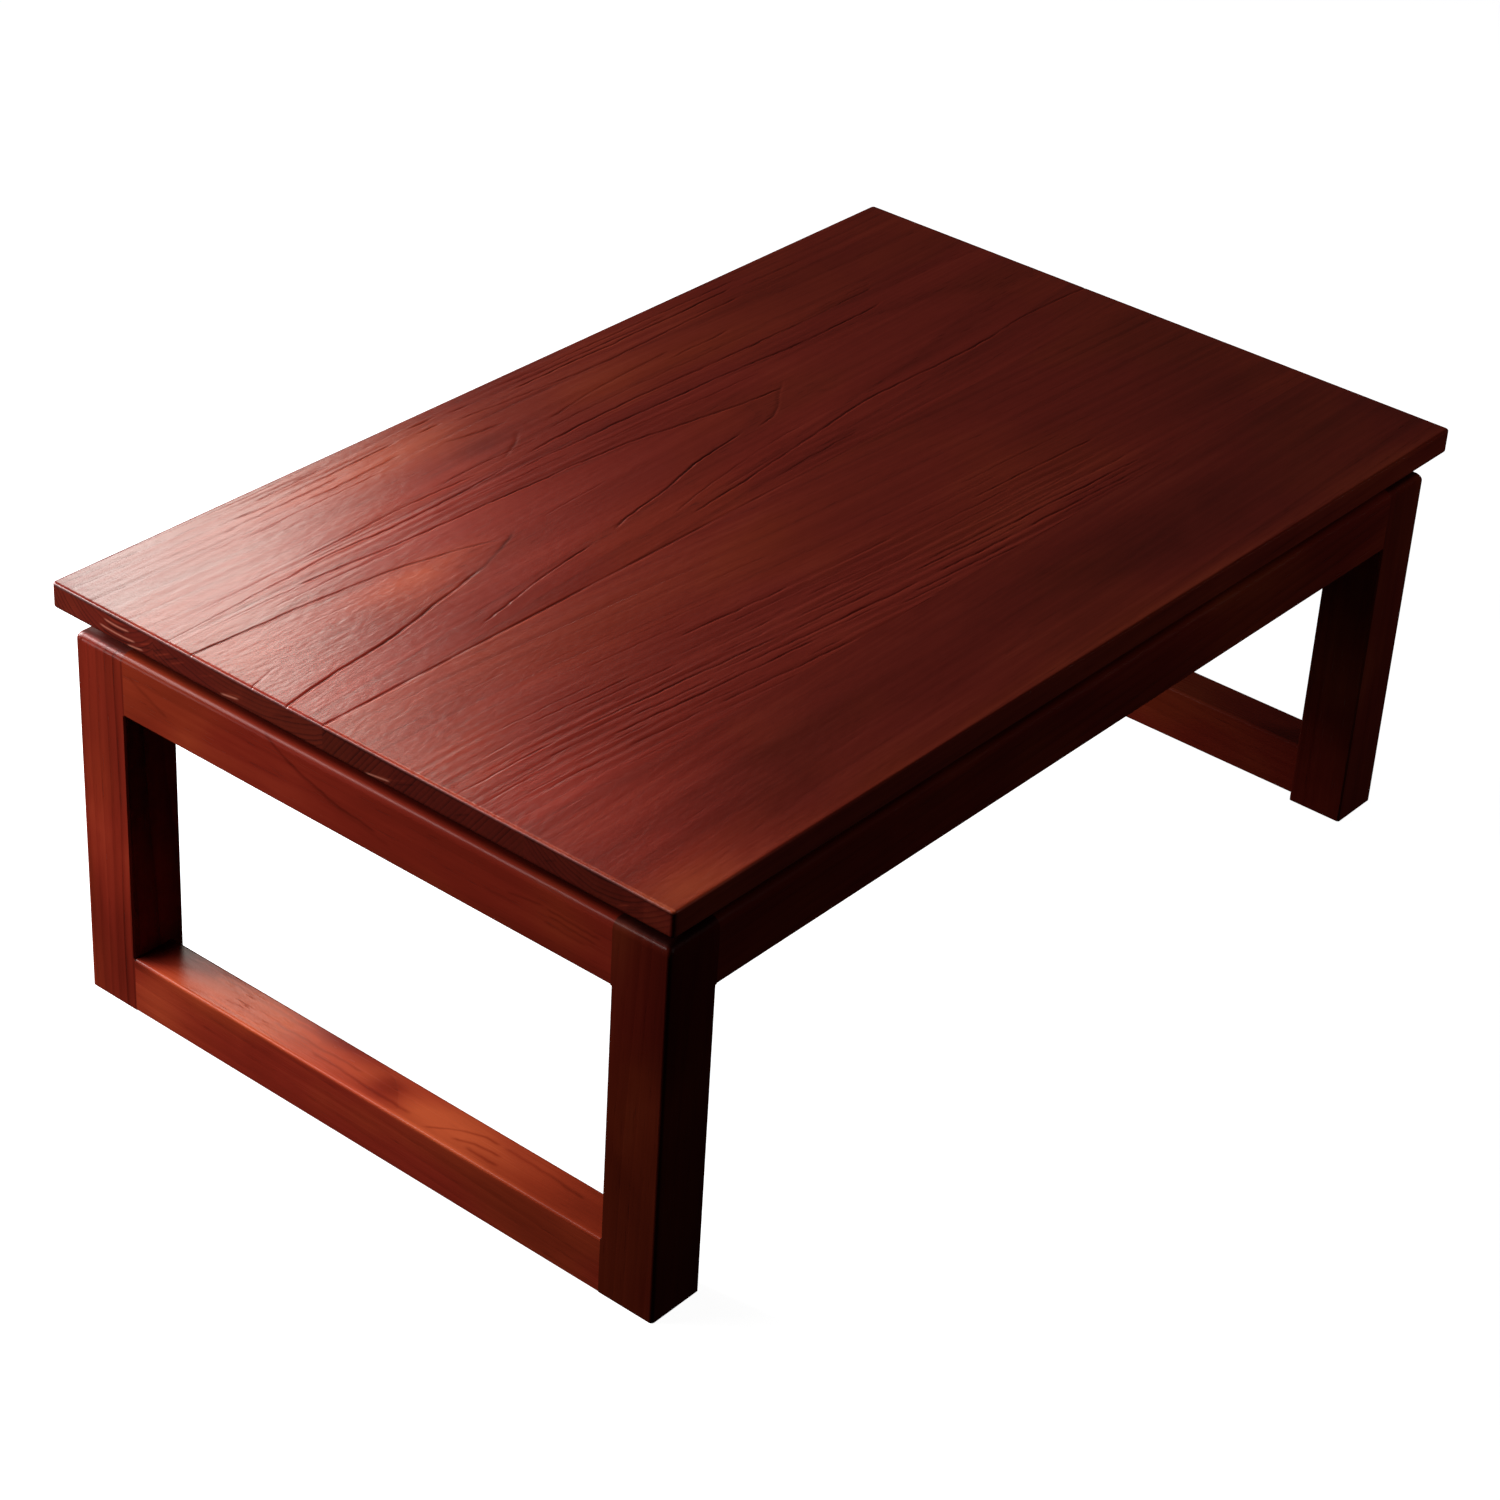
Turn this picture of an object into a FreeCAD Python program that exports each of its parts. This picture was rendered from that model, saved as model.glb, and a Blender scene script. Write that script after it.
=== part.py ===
import FreeCAD, Part
import os

import Sketcher

# Low floor table: an edge-joined slab top on a recessed waist, over a frame of four square legs, four aprons and a floor stretcher at
# each short end. All joints are glued mortise and tenon, tongue and groove, or screwed. Nothing on it moves.
# Millimetres. +Z is up, X is the long way, Y the short way. The origin is on the floor, under the middle of the top.
# -X is "left", +X "right", -Y "front" and +Y "back".

doc = FreeCAD.newDocument("low_floor_table")

# ------------------------------------------------------------------ driving dimensions
SIZES = [
    # overall
    ("table_length", 800),
    ("table_width", 500),
    ("table_height", 300),
    # slab top: boards of uneven width, edge joined with a tongue and groove
    ("top_thick", 18),
    ("board_front", 110),
    ("board_mid_front", 157.5),
    ("board_mid_back", 142.5),
    ("board_back", 90),
    ("tongue_thick", 5),
    ("tongue_depth", 5),
    ("groove_clear", 0.5),
    ("slab_edge_round", 2),
    ("slab_corner_round", 3),
    # frame
    ("overhang", 9),
    ("leg_size", 42),
    ("apron_height", 44),
    ("apron_thick", 24),
    ("stretcher_height", 40),
    ("stretcher_width", 33),
    ("frame_top_round", 6),
    ("leg_edge_round", 2.5),
    ("rail_edge_round", 2),
    ("stop_chamfer", 1.2),
    ("foot_chamfer", 0.5),
    # mortise and tenon joints
    ("tenon_length", 22),
    ("tenon_thick", 9),
    ("tenon_shoulder", 6),
    ("mortise_clear", 1),
    ("foot_tenon_thick", 11),
    ("foot_tenon_shoulder", 7),
    # recessed waist between top and frame
    ("waist_height", 16),
    ("waist_setback", 12),
    ("waist_thick", 12),
    # battens across the underside of the top
    ("batten_width", 30),
    ("batten_height", 34),
    ("batten_place", 190),
    ("batten_tenon", 10),
    ("batten_tenon_thick", 14),
    ("batten_tenon_height", 12),
    ("batten_tenon_lift", 2),
    # glued blocks in the inside corners
    ("block_land", 40),
    ("block_height", 28),
    ("block_lift", 8),
    # pan-head wood screws
    ("screw_shank", 4),
    ("screw_head", 8),
    ("screw_head_height", 2.8),
    ("screw_head_round", 1.2),
    ("screw_recess", 1.6),
    ("screw_point", 4),
    ("screw_bite", 12),
    ("screw_hole", 5.5),
    ("screw_pilot", 4.2),
    ("screw_pilot_extra", 1),
    ("counterbore", 11),
    ("counterbore_depth", 14),
    ("block_screw_bite", 24),
]

sheet = doc.addObject("Spreadsheet::Sheet", "Dims")
for row, (alias, value) in enumerate(SIZES, start=1):
    sheet.set("A%d" % row, alias)
    sheet.set("B%d" % row, str(value))
    sheet.setAlias("B%d" % row, alias)
doc.recompute()


class Q:
    """A size as the expression that binds it to the sheet, and as the number it comes to."""

    def __init__(self, text, value):
        self.text, self.value = text, float(value)

    @staticmethod
    def of(other):
        return other if isinstance(other, Q) else Q(repr(float(other)), other)

    def __add__(self, other):
        other = Q.of(other)
        return Q("(%s + %s)" % (self.text, other.text), self.value + other.value)

    def __sub__(self, other):
        other = Q.of(other)
        return Q("(%s - %s)" % (self.text, other.text), self.value - other.value)

    def __mul__(self, other):
        other = Q.of(other)
        return Q("(%s * %s)" % (self.text, other.text), self.value * other.value)

    def __truediv__(self, other):
        other = Q.of(other)
        return Q("(%s / %s)" % (self.text, other.text), self.value / other.value)

    def __neg__(self):
        return Q("(0 - %s)" % self.text, -self.value)

    __radd__ = __add__
    __rmul__ = __mul__


D = {alias: Q("Dims." + alias, sheet.get(alias)) for alias, _ in SIZES}

# sizes that follow from the driving ones
frame_length = D["table_length"] - D["overhang"] * 2
frame_width = D["table_width"] - D["overhang"] * 2
frame_top = D["table_height"] - D["top_thick"] - D["waist_height"]
slab_bottom = D["table_height"] - D["top_thick"]
apron_bottom = frame_top - D["apron_height"]
half_length = frame_length / 2
half_width = frame_width / 2
board_names = ("board_front", "board_mid_front", "board_mid_back", "board_back")


# ------------------------------------------------------------------ helpers
def bind(obj, prop, q):
    obj.setExpression(prop, Q.of(q).text)


def new_body(label):
    body = doc.addObject("PartDesign::Body", label)
    body.Label = label
    return body


def plane(body, role):
    return next(f for f in body.Origin.OriginFeatures if f.Role == role)


def new_sketch(body, name, role="XY_Plane", lift=None):
    sk = body.newObject("Sketcher::SketchObject", name)
    sk.AttachmentSupport = [(plane(body, role), "")]
    sk.MapMode = "FlatFace"
    if lift is not None:
        sk.AttachmentOffset = FreeCAD.Placement(
            FreeCAD.Vector(0, 0, lift.value), FreeCAD.Rotation()
        )
        bind(sk, "AttachmentOffset.Base.z", lift)
    return sk


def pin_point(sk, geo, pos, x, y, name):
    """Holds a point of the sketch at (x, y) from its origin; both are zero or more."""
    for q, kind, axis, tag in ((x, "DistanceX", -2, "x"), (y, "DistanceY", -1, "y")):
        if abs(q.value) < 1e-9:
            sk.addConstraint(Sketcher.Constraint("PointOnObject", geo, pos, axis))
        else:
            i = sk.addConstraint(Sketcher.Constraint(kind, -1, 1, geo, pos, q.value))
            sk.renameConstraint(i, name + tag)
            bind(sk, "Constraints." + name + tag, q)


def polygon(sk, points):
    """A closed outline whose corners are each held from the sketch's origin."""
    points = [(Q.of(x), Q.of(y)) for x, y in points]
    first = sk.GeometryCount
    n = len(points)
    for i in range(n):
        a, b = points[i], points[(i + 1) % n]
        sk.addGeometry(
            Part.LineSegment(
                FreeCAD.Vector(a[0].value, a[1].value, 0),
                FreeCAD.Vector(b[0].value, b[1].value, 0),
            ),
            False,
        )
    for i in range(n):
        sk.addConstraint(
            Sketcher.Constraint("Coincident", first + i, 2, first + (i + 1) % n, 1)
        )
    for i in range(n):
        pin_point(
            sk, first + i, 1, points[i][0], points[i][1], "p%d" % (first + i)
        )
    return sk


def rectangle(sk, x0, x1, y0, y1):
    return polygon(sk, [(x0, y0), (x1, y0), (x1, y1), (x0, y1)])


def circle(sk, x, y, diameter):
    x, y, diameter = Q.of(x), Q.of(y), Q.of(diameter)
    g = sk.addGeometry(
        Part.Circle(
            FreeCAD.Vector(x.value, y.value, 0),
            FreeCAD.Vector(0, 0, 1),
            diameter.value / 2,
        ),
        False,
    )
    i = sk.addConstraint(Sketcher.Constraint("Diameter", g, diameter.value))
    sk.renameConstraint(i, "d%d" % g)
    bind(sk, "Constraints.d%d" % g, diameter)
    pin_point(sk, g, 3, x, y, "c%d" % g)
    return sk


def pad(body, sk, length, name):
    f = body.newObject("PartDesign::Pad", name)
    f.Profile = sk
    bind(f, "Length", length)
    sk.Visibility = False
    doc.recompute()
    return f


def pocket(body, sk, length, name, upward=False):
    """Cuts the sketch down from its plane, or up, and stops if nothing was cut."""
    before = body.Shape.Volume
    f = body.newObject("PartDesign::Pocket", name)
    f.Profile = sk
    f.Type = 0
    f.Reversed = upward
    bind(f, "Length", length)
    sk.Visibility = False
    doc.recompute()
    if not before - body.Shape.Volume > 0.01:
        raise RuntimeError("pocket %s of %s cut nothing" % (name, body.Label))
    return f


def edges_where(shape, test):
    """Names of the edges whose every sampled point passes the test."""
    names = []
    for i, e in enumerate(shape.Edges, start=1):
        pts = e.discretize(5)
        if all(test(p) for p in pts):
            names.append("Edge%d" % i)
    return names


def round_edges(body, test, radius, name, count, kind="PartDesign::Fillet"):
    base = body.Tip
    names = edges_where(base.Shape, test)
    if len(names) != count:
        raise RuntimeError(
            "%s of %s: %d edges found, %d wanted" % (name, body.Label, len(names), count)
        )
    f = body.newObject(kind, name)
    f.Base = (base, names)
    bind(f, "Size" if kind.endswith("Chamfer") else "Radius", radius)
    base.Visibility = False
    doc.recompute()
    return f


def near(a, b):
    return abs(a - b) < 1e-4


def bore(body, name, diameter, length, at, turn):
    """A round hole on any axis: at is its start in the body's own frame, turn its rotation from +Z."""
    before = body.Shape.Volume
    f = body.newObject("PartDesign::SubtractiveCylinder", name)
    f.AttachmentSupport = [(plane(body, "XY_Plane"), "")]
    f.MapMode = "FlatFace"
    f.AttachmentOffset = FreeCAD.Placement(
        FreeCAD.Vector(*[Q.of(c).value for c in at]), turn
    )
    for axis, c in zip("xyz", at):
        bind(f, "AttachmentOffset.Base." + axis, c)
    bind(f, "Radius", Q.of(diameter) / 2)
    bind(f, "Height", length)
    doc.recompute()
    if not before - body.Shape.Volume > 0.01:
        raise RuntimeError("bore %s of %s cut nothing" % (name, body.Label))
    return f


def place(obj, x, y, z, degrees=0):
    obj.Placement = FreeCAD.Placement(
        FreeCAD.Vector(Q.of(x).value, Q.of(y).value, Q.of(z).value),
        FreeCAD.Rotation(FreeCAD.Vector(0, 0, 1), degrees),
    )
    for axis, c in zip("xyz", (x, y, z)):
        bind(obj, "Placement.Base." + axis, c)


SUBPARTS = []


def subpart(obj, solids=1):
    SUBPARTS.append((obj, solids))
    return obj


# ------------------------------------------------------------------ slab top
# Each board's section is drawn across its width: a tongue on its back edge fits a groove in the front edge of the next board.
def board_start(k):
    """Where board k begins, from the slab's front edge."""
    start = Q.of(0)
    for name in board_names[:k]:
        start = start + D[name]
    return start


def board_centre(k):
    """The middle of board k, across the table."""
    return board_start(k) + D[board_names[k]] / 2 - D["table_width"] / 2


def top_board(k, label):
    width, thick = D[board_names[k]], D["top_thick"]
    low = (thick - D["tongue_thick"]) / 2
    high = (thick + D["tongue_thick"]) / 2
    out = [(Q.of(0), Q.of(0)), (width, Q.of(0))]
    if k < 3:
        tip = width + D["tongue_depth"]
        out += [(width, low), (tip, low), (tip, high), (width, high)]
    out += [(width, thick), (Q.of(0), thick)]
    if k > 0:
        deep = D["tongue_depth"] + D["groove_clear"]
        out += [(Q.of(0), high), (deep, high), (deep, low), (Q.of(0), low)]
    body = new_body(label)
    sk = polygon(new_sketch(body, "section_" + label, "YZ_Plane"), out)
    pad(body, sk, D["table_length"], "board_" + label)
    # screw pilots from below, one over each batten
    pilots = new_sketch(body, "pilots_" + label)
    for side in (-1, 1):
        circle(
            pilots,
            D["table_length"] / 2 + D["batten_place"] * side,
            width / 2,
            D["screw_pilot"],
        )
    pocket(
        body,
        pilots,
        D["screw_bite"] + D["screw_pilot_extra"],
        "pilot_holes_" + label,
        upward=True,
    )
    length, w, t = D["table_length"].value, width.value, thick.value
    if k in (0, 3):
        outer = 0.0 if k == 0 else w
        round_edges(
            body,
            lambda p: near(p.y, outer) and (near(p.x, 0) or near(p.x, length)),
            D["slab_corner_round"],
            "corners_" + label,
            2,
        )
        # the outside edge runs round the two corners, above and below
        c = D["slab_corner_round"].value

        def rim(p):
            if not (near(p.z, 0) or near(p.z, t)):
                return False
            on_end = near(p.x, 0) or near(p.x, length)
            on_side = near(p.y, outer)
            cx = c if p.x < length / 2 else length - c
            cy = outer + c if k == 0 else outer - c
            on_corner = near(((p.x - cx) ** 2 + (p.y - cy) ** 2) ** 0.5, c) and (
                min(p.x, length - p.x) < c + 1e-4 and abs(p.y - outer) < c + 1e-4
            )
            return on_end or on_side or on_corner

        round_edges(body, rim, D["slab_edge_round"], "rim_" + label, 10)
    else:
        round_edges(
            body,
            lambda p: (near(p.z, 0) or near(p.z, t))
            and (near(p.x, 0) or near(p.x, length)),
            D["slab_edge_round"],
            "rim_" + label,
            4,
        )
    place(
        body,
        D["table_length"] / -2,
        board_start(k) - D["table_width"] / 2,
        slab_bottom,
    )
    return subpart(body)


for k, label in enumerate(
    ("top_board_front", "top_board_mid_front", "top_board_mid_back", "top_board_back")
):
    top_board(k, label)


# ------------------------------------------------------------------ legs
# A leg is drawn with its outside corner at the origin and its outside faces on x = 0 and y = 0. The rails enter through the faces at
# x = leg_size and y = leg_size. foot_face names the one that also takes the floor stretcher.
def leg(label, foot_face, x, y, degrees):
    a = D["leg_size"]
    body = new_body(label + "_blank")
    pad(
        body,
        rectangle(new_sketch(body, "section_" + label), Q.of(0), a, Q.of(0), a),
        frame_top,
        "post_" + label,
    )
    depth = D["tenon_length"] + D["mortise_clear"]

    def mortise(face, name, rail_thick, thick, top, height):
        lo, hi = (rail_thick - thick) / 2, (rail_thick + thick) / 2
        sk = new_sketch(body, "sk_%s_%s" % (name, label), lift=top)
        if face == "x":
            rectangle(sk, a - depth, a, lo, hi)
        else:
            rectangle(sk, lo, hi, a - depth, a)
        pocket(body, sk, height, "%s_%s" % (name, label))

    apron_tenon_top = frame_top - D["tenon_shoulder"]
    apron_tenon = D["apron_height"] - D["tenon_shoulder"] * 2
    mortise("x", "mortise_x", D["apron_thick"], D["tenon_thick"], apron_tenon_top, apron_tenon)
    mortise("y", "mortise_y", D["apron_thick"], D["tenon_thick"], apron_tenon_top, apron_tenon)
    foot_tenon_top = D["stretcher_height"] - D["foot_tenon_shoulder"]
    foot_tenon = D["stretcher_height"] - D["foot_tenon_shoulder"] * 2
    mortise(
        foot_face,
        "mortise_foot",
        D["stretcher_width"],
        D["foot_tenon_thick"],
        foot_tenon_top,
        foot_tenon,
    )
    # pilot for the screw through the corner block, on the diagonal of the inside corner
    bore(
        body,
        "pilot_" + label,
        D["screw_pilot"],
        D["block_screw_bite"] + D["screw_pilot_extra"] + 4,
        (
            a + 2.8284271247461903,
            a + 2.8284271247461903,
            apron_bottom + D["block_lift"] + D["block_height"] / 2,
        ),
        FreeCAD.Rotation(FreeCAD.Vector(0, 0, 1), FreeCAD.Vector(-1, -1, 0)),
    )
    # stopped chamfers on the two edges beside the rails, clear of the rails themselves
    ch = D["stop_chamfer"]
    for face, name in (("x", "ease_x"), ("y", "ease_y")):
        start = D["stretcher_height"] if face == foot_face else Q.of(0)
        sk = new_sketch(body, "sk_%s_%s" % (name, label), lift=apron_bottom)
        if face == "x":
            polygon(sk, [(a - ch, Q.of(0)), (a, Q.of(0)), (a, ch)])
        else:
            polygon(sk, [(Q.of(0), a - ch), (ch, a), (Q.of(0), a)])
        pocket(body, sk, apron_bottom - start, "%s_%s" % (name, label))
    top, s = frame_top.value, a.value
    round_edges(
        body,
        lambda p: near(p.x, s) and near(p.y, s),
        D["rail_edge_round"],
        "inside_edge_" + label,
        2,
    )
    # the outside corner is eased less than the two outside top edges, and all three meet in one rounded point
    done = doc.addObject("Part::Fillet", label)
    done.Label = label
    done.Base = body
    big, small = D["frame_top_round"].value, D["leg_edge_round"].value
    edges = []
    for i, e in enumerate(body.Shape.Edges, start=1):
        pts = e.discretize(5)
        if all(near(p.z, top) and (near(p.x, 0) or near(p.y, 0)) for p in pts):
            edges.append((i, big, big))
        elif all(near(p.x, 0) and near(p.y, 0) for p in pts):
            edges.append((i, small, small))
    if len(edges) != 3:
        raise RuntimeError("%s: %d outside edges found, 3 wanted" % (label, len(edges)))
    done.Edges = edges
    body.Visibility = False
    doc.recompute()
    place(body, x, y, Q.of(0), degrees)
    return subpart(done)


leg("leg_front_left", "y", -half_length, -half_width, 0)
leg("leg_front_right", "x", half_length, -half_width, 90)
leg("leg_back_right", "y", half_length, half_width, 180)
leg("leg_back_left", "x", -half_length, half_width, -90)


# ------------------------------------------------------------------ rails: aprons and floor stretchers
# A rail is drawn along x with its outside face on y = 0. It starts at the tip of its first tenon.
def rail(label, clear, thick, height, tenon_thick, shoulder):
    body = new_body(label)
    tl = D["tenon_length"]
    pad(
        body,
        rectangle(new_sketch(body, "section_" + label), tl, tl + clear, Q.of(0), thick),
        height,
        "rail_" + label,
    )
    sk = new_sketch(body, "sk_tenons_" + label, lift=shoulder)
    rectangle(
        sk,
        Q.of(0),
        clear + tl * 2,
        (thick - tenon_thick) / 2,
        (thick + tenon_thick) / 2,
    )
    pad(body, sk, height - shoulder * 2, "tenons_" + label)
    return body


def apron(label, clear, x, y, degrees, takes_battens):
    t, h = D["apron_thick"], D["apron_height"]
    body = rail(label, clear, t, h, D["tenon_thick"], D["tenon_shoulder"])
    if takes_battens:
        # stub mortises in the inside face for the battens
        sk = new_sketch(
            body,
            "sk_batten_mortises_" + label,
            lift=slab_bottom
            - D["batten_height"]
            + D["batten_tenon_lift"]
            + D["batten_tenon_height"]
            - apron_bottom,
        )
        for side in (-1, 1):
            middle = D["tenon_length"] + clear / 2 + D["batten_place"] * side
            half = D["batten_tenon_thick"] / 2
            rectangle(
                sk,
                middle - half,
                middle + half,
                t - D["batten_tenon"] - D["mortise_clear"],
                t,
            )
        pocket(body, sk, D["batten_tenon_height"], "batten_mortises_" + label)
    hv, tv = h.value, t.value
    round_edges(
        body,
        lambda p: near(p.z, hv) and near(p.y, 0),
        D["frame_top_round"],
        "top_round_" + label,
        1,
    )
    round_edges(
        body,
        lambda p: near(p.z, 0) and (near(p.y, 0) or near(p.y, tv)),
        D["stop_chamfer"],
        "lower_edges_" + label,
        2,
    )
    place(body, x, y, apron_bottom, degrees)
    return subpart(body)


long_clear = frame_length - D["leg_size"] * 2
short_clear = frame_width - D["leg_size"] * 2
long_start = half_length - D["leg_size"] + D["tenon_length"]
short_start = half_width - D["leg_size"] + D["tenon_length"]
apron("apron_front", long_clear, -long_start, -half_width, 0, True)
apron("apron_back", long_clear, long_start, half_width, 180, True)
apron("apron_left", short_clear, -half_length, short_start, -90, False)
apron("apron_right", short_clear, half_length, -short_start, 90, False)


def stretcher(label, x, y, degrees):
    t, h = D["stretcher_width"], D["stretcher_height"]
    body = rail(label, short_clear, t, h, D["foot_tenon_thick"], D["foot_tenon_shoulder"])
    hv, tv = h.value, t.value
    round_edges(
        body,
        lambda p: near(p.z, hv) and (near(p.y, 0) or near(p.y, tv)),
        D["rail_edge_round"],
        "upper_edges_" + label,
        2,
    )
    round_edges(
        body,
        lambda p: near(p.z, 0) and (near(p.y, 0) or near(p.y, tv)),
        D["foot_chamfer"],
        "lower_edges_" + label,
        2,
        kind="PartDesign::Chamfer",
    )
    place(body, x, y, Q.of(0), degrees)
    return subpart(body)


stretcher("floor_stretcher_left", -half_length, short_start, -90)
stretcher("floor_stretcher_right", half_length, -short_start, 90)


# ------------------------------------------------------------------ waist: strips set back between frame and slab
def waist(label, length, x, y):
    body = new_body(label)
    along_x = label.endswith(("front", "back"))
    t = D["waist_thick"]
    sk = new_sketch(body, "section_" + label)
    if along_x:
        rectangle(sk, Q.of(0), length, Q.of(0), t)
    else:
        rectangle(sk, Q.of(0), t, Q.of(0), length)
    pad(body, sk, D["waist_height"], "strip_" + label)
    place(body, x, y, frame_top)
    return subpart(body)


waist_x = half_length - D["waist_setback"]
waist_y = half_width - D["waist_setback"]
waist("waist_strip_front", waist_x * 2, -waist_x, -waist_y)
waist("waist_strip_back", waist_x * 2, -waist_x, waist_y - D["waist_thick"])
waist_end = waist_y * 2 - D["waist_thick"] * 2
waist("waist_strip_left", waist_end, -waist_x, D["waist_thick"] - waist_y)
waist("waist_strip_right", waist_end, waist_x - D["waist_thick"], D["waist_thick"] - waist_y)

# ------------------------------------------------------------------ battens under the top
# A batten is drawn along x, then turned to lie across the table. Its stub tenons sit in the long aprons, and the slab is screwed to it
# from below through oversize holes, so that the boards can swell and shrink.
batten_clear = frame_width - D["apron_thick"] * 2
batten_bottom = slab_bottom - D["batten_height"]


def batten(label, side):
    body = new_body(label)
    w, h, tl = D["batten_width"], D["batten_height"], D["batten_tenon"]
    pad(
        body,
        rectangle(new_sketch(body, "section_" + label), tl, tl + batten_clear, Q.of(0), w),
        h,
        "bar_" + label,
    )
    sk = new_sketch(body, "sk_tenons_" + label, lift=D["batten_tenon_lift"])
    half = D["batten_tenon_thick"] / 2
    rectangle(sk, Q.of(0), batten_clear + tl * 2, w / 2 - half, w / 2 + half)
    pad(body, sk, D["batten_tenon_height"], "tenons_" + label)
    holes = new_sketch(body, "sk_holes_" + label)
    wells = new_sketch(body, "sk_wells_" + label)
    for k in range(4):
        at = tl + batten_clear / 2 + board_centre(k)
        circle(holes, at, w / 2, D["screw_hole"])
        circle(wells, at, w / 2, D["counterbore"])
    pocket(body, holes, h, "screw_holes_" + label, upward=True)
    pocket(body, wells, D["counterbore_depth"], "counterbores_" + label, upward=True)
    wv, lo, hi = w.value, tl.value, (tl + batten_clear).value
    round_edges(
        body,
        lambda p: near(p.z, 0)
        and (near(p.y, 0) or near(p.y, wv))
        and lo - 1e-4 <= p.x <= hi + 1e-4,
        D["rail_edge_round"],
        "lower_edges_" + label,
        2,
    )
    place(
        body,
        D["batten_place"] * side + w / 2,
        (batten_clear / 2 + tl) * -1,
        batten_bottom,
        90,
    )
    return subpart(body)


batten("batten_left", -1)
batten("batten_right", 1)


# ------------------------------------------------------------------ corner blocks
# A block is drawn with the meeting point of the two apron faces at the origin. It is notched for the leg's inside corner, lands on both
# aprons, and takes one screw on the diagonal into the leg.
def corner_block(label, x, y, degrees):
    body = new_body(label)
    n = D["leg_size"] - D["apron_thick"]
    far = n + D["block_land"]
    zero = Q.of(0)
    sk = new_sketch(body, "section_" + label)
    polygon(sk, [(n, zero), (far, zero), (zero, far), (zero, n), (n, n)])
    pad(body, sk, D["block_height"], "wedge_" + label)
    bore(
        body,
        "screw_hole_" + label,
        D["screw_hole"],
        D["block_land"] * 2,
        (n - 4, n - 4, D["block_height"] / 2),
        FreeCAD.Rotation(FreeCAD.Vector(0, 0, 1), FreeCAD.Vector(1, 1, 0)),
    )
    place(body, x, y, apron_bottom + D["block_lift"], degrees)
    return subpart(body)


inner_x = half_length - D["apron_thick"]
inner_y = half_width - D["apron_thick"]
corner_block("corner_block_front_left", -inner_x, -inner_y, 0)
corner_block("corner_block_front_right", inner_x, -inner_y, 90)
corner_block("corner_block_back_right", inner_x, inner_y, 180)
corner_block("corner_block_back_left", -inner_x, inner_y, -90)


# ------------------------------------------------------------------ screws
# One pan-head screw per kind, pointing up +Z with the underside of its head on z = 0. The cross recess is two crossed slots.
def screw(name, length):
    r = D["screw_shank"] / 2
    shank = doc.addObject("Part::Cylinder", name + "_shank")
    bind(shank, "Radius", r)
    bind(shank, "Height", length - D["screw_point"])
    point = doc.addObject("Part::Cone", name + "_point")
    bind(point, "Radius1", r)
    bind(point, "Radius2", r / 5)
    bind(point, "Height", D["screw_point"])
    place(point, Q.of(0), Q.of(0), length - D["screw_point"])
    head = doc.addObject("Part::Cylinder", name + "_head")
    bind(head, "Radius", D["screw_head"] / 2)
    bind(head, "Height", D["screw_head_height"])
    place(head, Q.of(0), Q.of(0), D["screw_head_height"] * -1)
    doc.recompute()
    rounded = doc.addObject("Part::Fillet", name + "_head_round")
    rounded.Base = head
    rounded.Edges = [
        (i, D["screw_head_round"].value, D["screw_head_round"].value)
        for i, e in enumerate(head.Shape.Edges, start=1)
        if e.Closed and all(near(p.z, -D["screw_head_height"].value) for p in e.discretize(4))
    ]
    whole = doc.addObject("Part::MultiFuse", name + "_whole")
    whole.Shapes = [shank, point, rounded]
    slots = []
    for tag, long_x in (("a", True), ("b", False)):
        slot = doc.addObject("Part::Box", "%s_recess_%s" % (name, tag))
        wide, narrow = D["screw_head"] / 2, D["screw_head"] / 8
        lx, ly = (wide, narrow) if long_x else (narrow, wide)
        bind(slot, "Length", lx)
        bind(slot, "Width", ly)
        bind(slot, "Height", D["screw_recess"])
        place(slot, lx / -2, ly / -2, D["screw_head_height"] * -1)
        slots.append(slot)
    cross = doc.addObject("Part::MultiFuse", name + "_recess")
    cross.Shapes = slots
    done = doc.addObject("Part::Cut", name)
    done.Base, done.Tool = whole, cross
    doc.recompute()
    return done


def screw_group(label, pattern, placements):
    """The same screw at each place, as separate solids in one group."""
    group = doc.addObject("Part::Feature", label)
    group.Label = label
    copies = []
    for p in placements:
        s = pattern.Shape.copy()
        s.Placement = p
        copies.append(s)
    group.Shape = Part.makeCompound(copies)
    group.Placement = FreeCAD.Placement()
    return subpart(group, len(placements))


batten_screw_length = D["batten_height"] - D["counterbore_depth"] + D["screw_bite"]
upright = FreeCAD.Rotation()
screw_group(
    "batten_screws",
    screw("batten_screw", batten_screw_length),
    [
        FreeCAD.Placement(
            FreeCAD.Vector(
                side * D["batten_place"].value,
                board_centre(k).value,
                (batten_bottom + D["counterbore_depth"]).value,
            ),
            upright,
        )
        for side in (-1, 1)
        for k in range(4)
    ],
)

# the block screw's head bears on the sloping face, half way between the block's two ends
notch = D["leg_size"] - D["apron_thick"]
seat = (notch + D["block_land"]) / 2
block_screw_length = (seat - notch) * (2.0**0.5) + D["block_screw_bite"]
block_screw = screw("block_screw", block_screw_length)
screw_group(
    "corner_block_screws",
    block_screw,
    [
        FreeCAD.Placement(
            FreeCAD.Vector(
                sx * (inner_x.value - seat.value),
                sy * (inner_y.value - seat.value),
                (apron_bottom + D["block_lift"] + D["block_height"] / 2).value,
            ),
            FreeCAD.Rotation(FreeCAD.Vector(0, 0, 1), FreeCAD.Vector(sx, sy, 0)),
        )
        for sx, sy in ((-1, -1), (1, -1), (1, 1), (-1, 1))
    ],
)

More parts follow.
